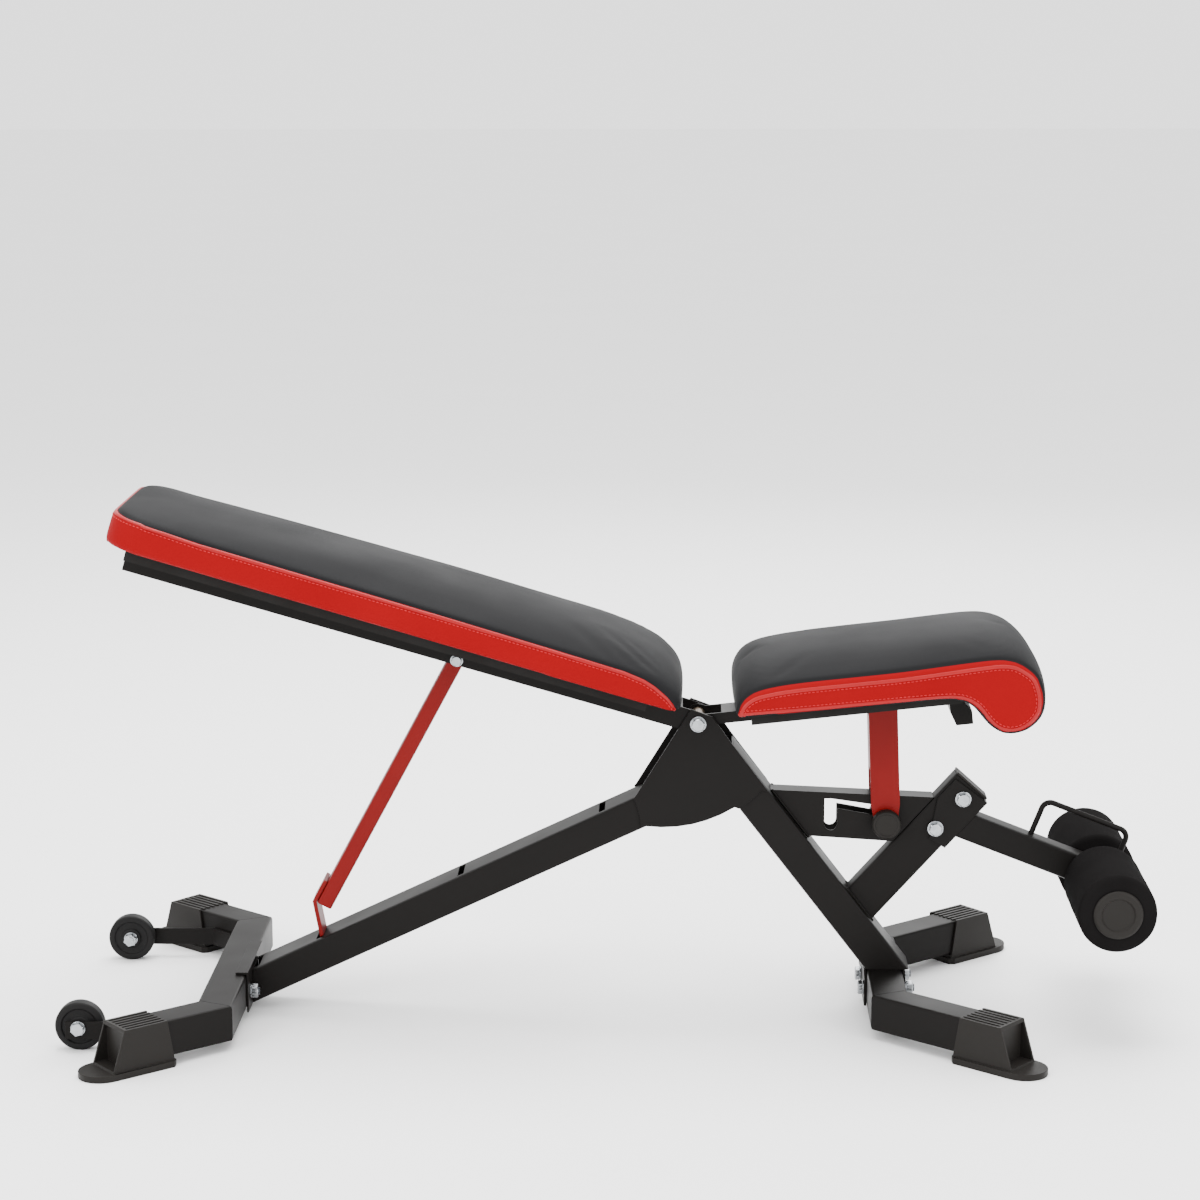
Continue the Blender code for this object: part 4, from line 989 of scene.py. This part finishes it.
@dataclass
class HexBolt:
    """A hex bolt with a flat washer under its head and its nut.

    Attributes:
        node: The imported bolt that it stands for.
        radius: The thread's radius.
        washer: The washers' radius.
        washer_height: Their thickness.
        head: The head's height.
        nut: The nut's height.
        tip: How far the thread stands out of the nut.
        chamfer: How far the corners of head and nut are turned off.
        flats: Half the width across the flats over the thread's radius.
        facing: The flat face's radius over half that width.
        edge: The rounding of a washer.
    """

    node: str
    radius: float = 0.005
    washer: float = 0.010
    washer_height: float = 0.0015
    head: float = 0.006
    nut: float = 0.008
    tip: float = 0.002
    chamfer: float = 0.0009
    flats: float = 1.5
    facing: float = 0.93
    edge: float = 0.0004

    def hexagon(self, place: Vector, axis: Vector, low: float, high: float) -> list[list[Vector]]:
        """Rings of a hexagonal prism with its corners turned off at both ends.

        Args:
            place: The point on the axis at distance zero.
            axis: The axis, of length one.
            low: Where the prism starts along the axis.
            high: Where it ends, on either side of that.

        Returns:
            The rings in order.
        """
        sides = 48
        across = self.radius * self.flats
        face = across * self.facing
        corner = across / math.cos(math.pi / 6)
        first = axis.orthogonal().normalized()
        second = axis.cross(first)
        rings = []
        cut = self.chamfer * (1 if high > low else -1)
        steps = ((low, across), (low + cut * 0.6, corner), (high - cut, corner), (high, face))
        for along, most in steps:
            ring = []
            for i in range(sides):
                turn = 2 * math.pi * i / sides
                flat = across / math.cos((turn + math.pi / 6) % (math.pi / 3) - math.pi / 6)
                reach = min(flat, most)
                ring.append(place + axis * along + (first * math.cos(turn) + second * math.sin(turn)) * reach)
            rings.append(ring)
        return rings

    def build(self) -> bpy.types.Object:
        """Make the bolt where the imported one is.

        Returns:
            The bolt as one piece.
        """
        low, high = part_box(self.node)
        size = high - low
        widths = [size.x, size.y, size.z]
        index = max(range(3), key=lambda k: widths[k])
        axis = Vector([1.0 if k == index else 0.0 for k in range(3)])
        place = (low + high) / 2
        place[index] = 0.0
        nut_end = self.washer_height + self.nut + self.tip
        head_end = self.washer_height + self.head
        first = self.head_first(index, low, high)
        if first:
            start, end, way = low[index] + head_end, high[index] - nut_end, 1
        else:
            start, end, way = high[index] - head_end, low[index] + nut_end, -1
        maker = bmesh.new()
        bevel = 0.75 * self.edge
        disc = [(self.washer - self.edge, 0), (self.washer, bevel), (self.washer, self.washer_height - bevel),
                (self.washer - self.edge, self.washer_height)]
        for face, out in ((start, -way), (end, way)):
            profile = [(r, face + out * h) for r, h in disc]
            add_rings(maker, turned_rings(profile, place, axis, 48), False)
        top = start - way * self.washer_height
        add_rings(maker, self.hexagon(place, axis, top, top - way * self.head), False)
        nut_base = end + way * self.washer_height
        add_rings(maker, self.hexagon(place, axis, nut_base, nut_base + way * self.nut), False)
        add_rings(maker, turned_rings(self.thread(start, nut_base, way), place, axis, 24), False)
        made = from_bmesh(maker, self.node + "_finished", 30.0)
        ZINC.dress(made)
        Steelwork.stand_for(made, self.node)
        return made

    def thread(self, start: float, nut_base: float, way: int) -> list[tuple[float, float]]:
        """The shank's profile, with a few thread ridges past the nut.

        Args:
            start: Where the shank starts, under the head.
            nut_base: Where the nut starts.
            way: 1 if the nut is up the axis from the head, else -1.

        Returns:
            (radius, distance along the axis) pairs.
        """
        end = nut_base + way * (self.nut + self.tip)
        profile = [(self.radius, start), (self.radius, end - way * self.tip)]
        pitch = self.tip / 3
        for i in range(3):
            base = end - way * (self.tip - pitch * i)
            profile.append((self.radius - 0.0006, base + way * pitch * 0.5))
            profile.append((self.radius - 0.0001, base + way * pitch))
        return profile + [(self.radius - 0.0009, end)]

    def head_first(self, index: int, low: Vector, high: Vector) -> bool:
        """Whether the head is at the lower end of the axis, which the shorter end tells.

        Args:
            index: The axis, 0 for X.
            low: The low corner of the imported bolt's box.
            high: Its high corner.

        Returns:
            True if it is.
        """
        if index == 0:
            return True
        if self.node.startswith("wheel"):
            return abs(high[index]) < abs(low[index])
        return abs(low[index]) < abs(high[index])


# ---------------------------------------------------------------- welds


@dataclass
class Welds:
    """The ripples of weld along the joints that show.

    Attributes:
        brace_foot: The brace's foot on the front leg in the side view, low end and high end.
        bracket_edge: The slotted bracket's edge on the front leg, low end and high end.
        reach: How far from the middle plane the bead on a brace or bracket lies.
    """

    brace_foot: tuple[tuple[float, float], tuple[float, float]] = ((0.3338, 0.1178), (0.3027, 0.1581))
    bracket_edge: tuple[tuple[float, float], tuple[float, float]] = ((0.2525, 0.2265), (0.2075, 0.2850))
    reach: float = 0.0153

    def build(self) -> None:
        """Lay the beads and let them ride on the frame."""
        maker = bmesh.new()
        for ends in (self.brace_foot, self.bracket_edge):
            for side in Side:
                pair = [maker.verts.new((x, side.value * self.reach, z)) for x, z in ends]
                maker.edges.new(pair)
        mesh = bpy.data.meshes.new("weld_beads")
        maker.to_mesh(mesh)
        maker.free()
        made = new_object("weld_beads", mesh)
        BEADS.lay(made, BLACK_COAT, spacing=0.0021, length=0.0044, width=0.0042, height=0.0042)
        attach(made, "frame")


# ---------------------------------------------------------------- rollers, wheels, knobs and handle


@dataclass
class RollerPair:
    """Two foam sleeves on one axle, each with a moulded end cap.

    Attributes:
        start: Where a sleeve starts, from the middle.
        end: Where it ends.
        radius: Its radius.
        bore: The radius of the hole through it.
        soft: The rounding of its rims.
        cap_radius: An end cap's radius.
        cap_dish: The radius of the cap's dish.
        cap: How far a cap stands out of the foam.
    """

    start: float = 0.022
    end: float = 0.1645
    radius: float = 0.048
    bore: float = 0.0135
    soft: float = 0.007
    cap_radius: float = 0.030
    cap_dish: float = 0.019
    cap: float = 0.004

    def place(self) -> Vector:
        """The axle's middle."""
        low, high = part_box("roller_axle")
        return (low + high) / 2

    def sleeve(self, side: Side) -> bpy.types.Object:
        """One foam sleeve, faintly uneven as cut foam is.

        Args:
            side: The side of the bench.

        Returns:
            The sleeve.
        """
        s = side.value
        ends = [(self.bore, s * self.start), (self.radius, s * self.start), (self.radius, s * self.end),
                (self.bore, s * self.end)]
        profile = softened(ends, self.soft, 8)
        straight = self.end - self.start - 2 * self.soft
        long_run = [(self.radius, s * (self.start + self.soft + straight * t / 12)) for t in range(1, 12)]
        half = len(profile) // 2
        profile = profile[:half] + long_run + profile[half:]
        made = turned(f"foam_sleeve_{side.word}", profile, self.place(), Vector((0, 1, 0)), 96, True)
        middle = self.place()
        for vertex in made.data.vertices:
            out = Vector((vertex.co.x - middle.x, 0, vertex.co.z - middle.z)).normalized()
            vertex.co += out * 0.0005 * noise.noise(vertex.co * 30.0)
        FOAM.dress(made)
        return made

    def end_cap(self, side: Side) -> bpy.types.Object:
        """One end cap: a bevelled ring round a shallow dish, with a hub inside the foam.

        Args:
            side: The side of the bench.

        Returns:
            The cap.
        """
        s = side.value
        face = self.end + 0.0003
        outer = face + self.cap
        deep = self.end - 0.030
        line = [(0.0005, outer - 0.0025), (self.cap_dish, outer - 0.0025), (self.cap_dish + 0.002, outer),
                (self.cap_radius - 0.003, outer), (self.cap_radius, face + 0.002), (self.cap_radius, face),
                (self.bore - 0.0003, face), (self.bore - 0.0003, deep), (0.0107, deep),
                (0.0107, self.end - 0.002), (0.0005, self.end - 0.002)]
        profile = [(r, s * along) for r, along in softened(line, 0.0008, 3)]
        made = turned(f"roller_cap_{side.word}", profile, self.place(), Vector((0, 1, 0)), 72)
        PLASTIC.dress(made)
        return made

    def build(self) -> None:
        """Make both sleeves and both caps."""
        for side in Side:
            sleeve = self.sleeve(side)
            Steelwork.stand_for(sleeve, f"foam_roller_{side.word}")
            Steelwork.stand_for(self.end_cap(side), f"roller_end_cap_{side.word}")


@dataclass
class TransportWheels:
    """The two small wheels behind the rear stabiliser.

    Attributes:
        radius: A wheel's radius.
        width: Its width.
        bore: The radius of the hole through it.
    """

    radius: float = 0.030
    width: float = 0.020
    bore: float = 0.0055

    def build(self) -> None:
        """Turn each wheel with its hub, its web and its rounded tread."""
        for side in Side:
            node = f"wheel_{side.word}"
            low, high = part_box(node)
            half = self.width / 2
            line = [(self.bore, -half), (0.012, -half), (0.0135, -half + 0.003), (0.021, -half + 0.003),
                    (0.0225, -half + 0.001), (self.radius - 0.0015, -half + 0.001),
                    (self.radius, -half + 0.003)]
            line += [(r, -along) for r, along in reversed(line)]
            profile = softened(line, 0.0009, 3)
            made = turned(node + "_finished", profile, (low + high) / 2, Vector((0, 1, 0)), 72, True)
            WHEEL.dress(made)
            Steelwork.stand_for(made, node)


@dataclass
class AdjusterKnobs:
    """The two knobs on the ends of the seat's slot pin.

    Attributes:
        radius: A knob's radius.
        thickness: Its thickness.
        pin: The pin's radius.
    """

    radius: float = 0.018
    thickness: float = 0.014
    pin: float = 0.006

    def build(self) -> None:
        """Turn each knob with a thin raised rim and its stub of the pin."""
        for side in Side:
            node = f"adjuster_knob_{side.word}"
            low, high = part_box(node)
            middle = (low + high) / 2
            middle.y = 0
            inner, outer = sorted((abs(low.y), abs(high.y)))
            face = outer - self.thickness
            line = [(0.0005, inner), (self.pin, inner), (self.pin, face), (self.radius - 0.001, face),
                    (self.radius, face + 0.002), (self.radius, outer - 0.0025), (self.radius - 0.0018, outer),
                    (self.radius - 0.0035, outer), (self.radius - 0.005, outer - 0.0014),
                    (0.0005, outer - 0.0006)]
            profile = [(r, side.value * along) for r, along in softened(line, 0.0008, 3)]
            made = turned(node + "_finished", profile, middle, Vector((0, 1, 0)), 72)
            PLASTIC.dress(made)
            Steelwork.stand_for(made, node)


@dataclass
class CarryHandle:
    """The bent rod over the end of the hold-down arm.

    Attributes:
        arm_point: The upper edge of the arm's root in the side view.
        arm_angle: The arm's slope.
        start: How far along the arm the handle starts.
        span: The handle's length.
        height: Its height over the arm.
        bend: The radius of its two bends.
        rod: The rod's radius.
        gap: The air between the rod's ends and the arm.
    """

    arm_point: tuple[float, float] = (0.465, 0.253)
    arm_angle: float = math.radians(-21.3)
    start: float = 0.072
    span: float = 0.113
    height: float = 0.047
    bend: float = 0.011
    rod: float = 0.0035
    gap: float = 0.0003

    def build(self) -> None:
        """Sweep the rod along its bent path."""
        along = Vector((math.cos(self.arm_angle), 0, math.sin(self.arm_angle)))
        out = Vector((-along.z, 0, along.x))
        base = Vector((self.arm_point[0], 0, self.arm_point[1])) + along * self.start
        top, far = base + out * self.height, base + along * self.span
        path = [base + out * self.gap]
        for centre, first in ((top + (along - out) * self.bend, math.pi),
                              (top + along * (self.span - self.bend) - out * self.bend, math.pi / 2)):
            for i in range(11):
                turn = first - math.pi / 2 * i / 10
                path.append(centre + (along * math.cos(turn) + out * math.sin(turn)) * self.bend)
        path.append(far + out * self.gap)
        side = Vector((0, 1, 0))
        rings = []
        for i, point in enumerate(path):
            way = (path[min(i + 1, len(path) - 1)] - path[max(i - 1, 0)]).normalized()
            normal = side.cross(way)
            rings.append([point + (side * math.cos(t) + normal * math.sin(t)) * self.rod
                          for t in (2 * math.pi * k / 20 for k in range(20))])
        maker = bmesh.new()
        add_rings(maker, rings, False)
        made = from_bmesh(maker, "carry_handle")
        BLACK_COAT.dress(made)
        Steelwork.stand_for(made, "handle_loop")


# ---------------------------------------------------------------- studio


@dataclass
class Studio:
    """A white floor, soft lights and the camera.

    Attributes:
        place: Where the camera stands.
        turn: Its turns about X, Y and Z, in degrees.
        lens: Its focal length in millimetres.
    """

    place: tuple[float, float, float] = (0.0855, -3.7037, 1.2381)
    turn: tuple[float, float, float] = (79.09, 0.1, 1.43)
    lens: float = 91.2

    def camera(self) -> None:
        """Set up the camera."""
        data = bpy.data.cameras.new("camera")
        data.lens = self.lens
        data.sensor_width = 36.0
        made = bpy.data.objects.new("camera", data)
        made.location = self.place
        made.rotation_euler = [math.radians(a) for a in self.turn]
        bpy.context.scene.collection.objects.link(made)
        bpy.context.scene.camera = made

    def light(self, name: str, place: tuple[float, float, float], size: float, power: float) -> None:
        """Add a square soft light that faces the bench.

        Args:
            name: The light's name.
            place: Where it stands.
            size: The length of its side.
            power: Its power in watts.
        """
        data = bpy.data.lights.new(name, "AREA")
        data.size = size
        data.energy = power
        made = bpy.data.objects.new(name, data)
        made.location = place
        made.rotation_euler = (Vector((0, 0, 0.3)) - Vector(place)).to_track_quat("-Z", "Y").to_euler()
        bpy.context.scene.collection.objects.link(made)

    def build(self) -> None:
        """Make the floor, the lights, the pale surround and the camera."""
        maker = bmesh.new()
        bmesh.ops.create_grid(maker, x_segments=1, y_segments=1, size=30.0)
        floor = from_bmesh(maker, "floor")
        Finish("studio_floor", "#f7f7f7", "#f4f4f4", 0.6, 0.02, 5.0, 0.0, 500.0).dress(floor)
        world = bpy.data.worlds.new("studio")
        world.use_nodes = True
        back = world.node_tree.nodes["Background"]
        back.inputs["Color"].default_value = linear("#ffffff")
        back.inputs["Strength"].default_value = 2.1
        bpy.context.scene.world = world
        self.light("overhead", (0.0, 0.4, 3.4), 2.6, 230.0)
        self.light("front_left", (-2.4, -2.8, 2.0), 1.6, 75.0)
        self.light("front_right", (2.6, -2.4, 1.6), 1.4, 50.0)
        self.light("behind", (0.5, 3.0, 2.2), 2.0, 60.0)
        self.camera()


# ---------------------------------------------------------------- the bench


def back_pad() -> PadCover:
    """The long back pad, with a band of side vinyl round its far end.

    Returns:
        The pad's cover.
    """
    side = [(-757, 29), (-758, 50), (-757, 66), (-748, 69), (-722, 68), (-680, 66), (-600, 64), (-391, 63),
            (-200, 61), (-125, 60), (-95, 57.5), (-75, 54), (-57, 48), (-44, 40), (-37, 33), (-35, 27.5),
            (-60, 27), (-200, 27), (-391, 27.5), (-600, 28), (-740, 28.5)]
    rise = [(0, -1.5), (0, 0), (0, 1), (0, 4), (0, 9), (0, 14), (0, 20), (0, 24),
            (0, 25.5), (0, 26), (1, 25), (5, 21), (7, 16), (7, 11), (6, 6), (5, 0),
            (0, 0), (0, 0), (0, -0.5), (0, -1), (0, -1.5)]
    line = [(-757, 69), (-743, 69), (-640, 64.5), (-391, 63), (-200, 61), (-110, 59.5), (-85, 56.5),
            (-70, 52), (-52, 43.5), (-42, 36), (-36, 28), (-30, 18)]
    return PadCover("back_pad_cover", "back_cushion", "backrest", 16.3, Seam.BAND, side, rise, line,
                    far_corner=0.046, near_corner=0.016)


def seat_pad() -> PadCover:
    """The seat pad, which rolls over into a bolster, with a flat panel on each side.

    Returns:
        The pad's cover.
    """
    side = [(50, 24), (50, 32), (56, 42), (70, 51), (92, 55), (129, 57), (190, 57), (250, 57), (310, 59),
            (350, 60.5), (371, 60.5), (388, 57), (401, 49), (412, 38), (417, 23), (418, 7), (414, -9),
            (402, -22), (386, -29), (370, -29), (357, -23), (346, -11), (336, 5), (322, 15), (300, 19),
            (240, 20.5), (150, 21.5), (70, 23)]
    rise = [(-2, 0), (-3, 6), (-5, 13), (-7, 21), (-6, 27), (0, 29), (0, 30), (0, 30.5), (0, 30),
            (1, 28), (3, 24), (6, 18), (8, 12), (8, 6), (8, 2), (7, -1), (6, -3),
            (3, -4), (0, -4), (-1, -3), (0, 0), (0, 0), (0, 1), (0, 4), (0, 3.5),
            (0, 2), (0, 1), (0, 0)]
    return PadCover("seat_pad_cover", "seat_cushion", "seat", -6.3, Seam.PANEL, side, rise, [],
                    board_top=0.0225, board_end=0.330)


def main() -> None:
    """Build the studio and the bench in order, and report each piece."""
    logging.basicConfig(level=logging.INFO, format="%(name)s: %(message)s")
    Studio().build()
    LOG.info("frame pieces finished: %d", Steelwork().build())
    InnerParts().build()
    for pad in (back_pad(), seat_pad()):
        for piece in pad.build():
            LOG.info("%s: %d faces", piece.name, len(piece.data.polygons))
    for node in [name for name in frame["nodes"] if "bolt" in name]:
        radius, washer = BOLT_SIZES.get(node.split("_")[0], PLAIN_BOLT)
        LOG.info("%s", HexBolt(node, radius, washer).build().name)
    Welds().build()
    RollerPair().build()
    TransportWheels().build()
    AdjusterKnobs().build()
    CarryHandle().build()


if __name__ == "__main__":
    main()
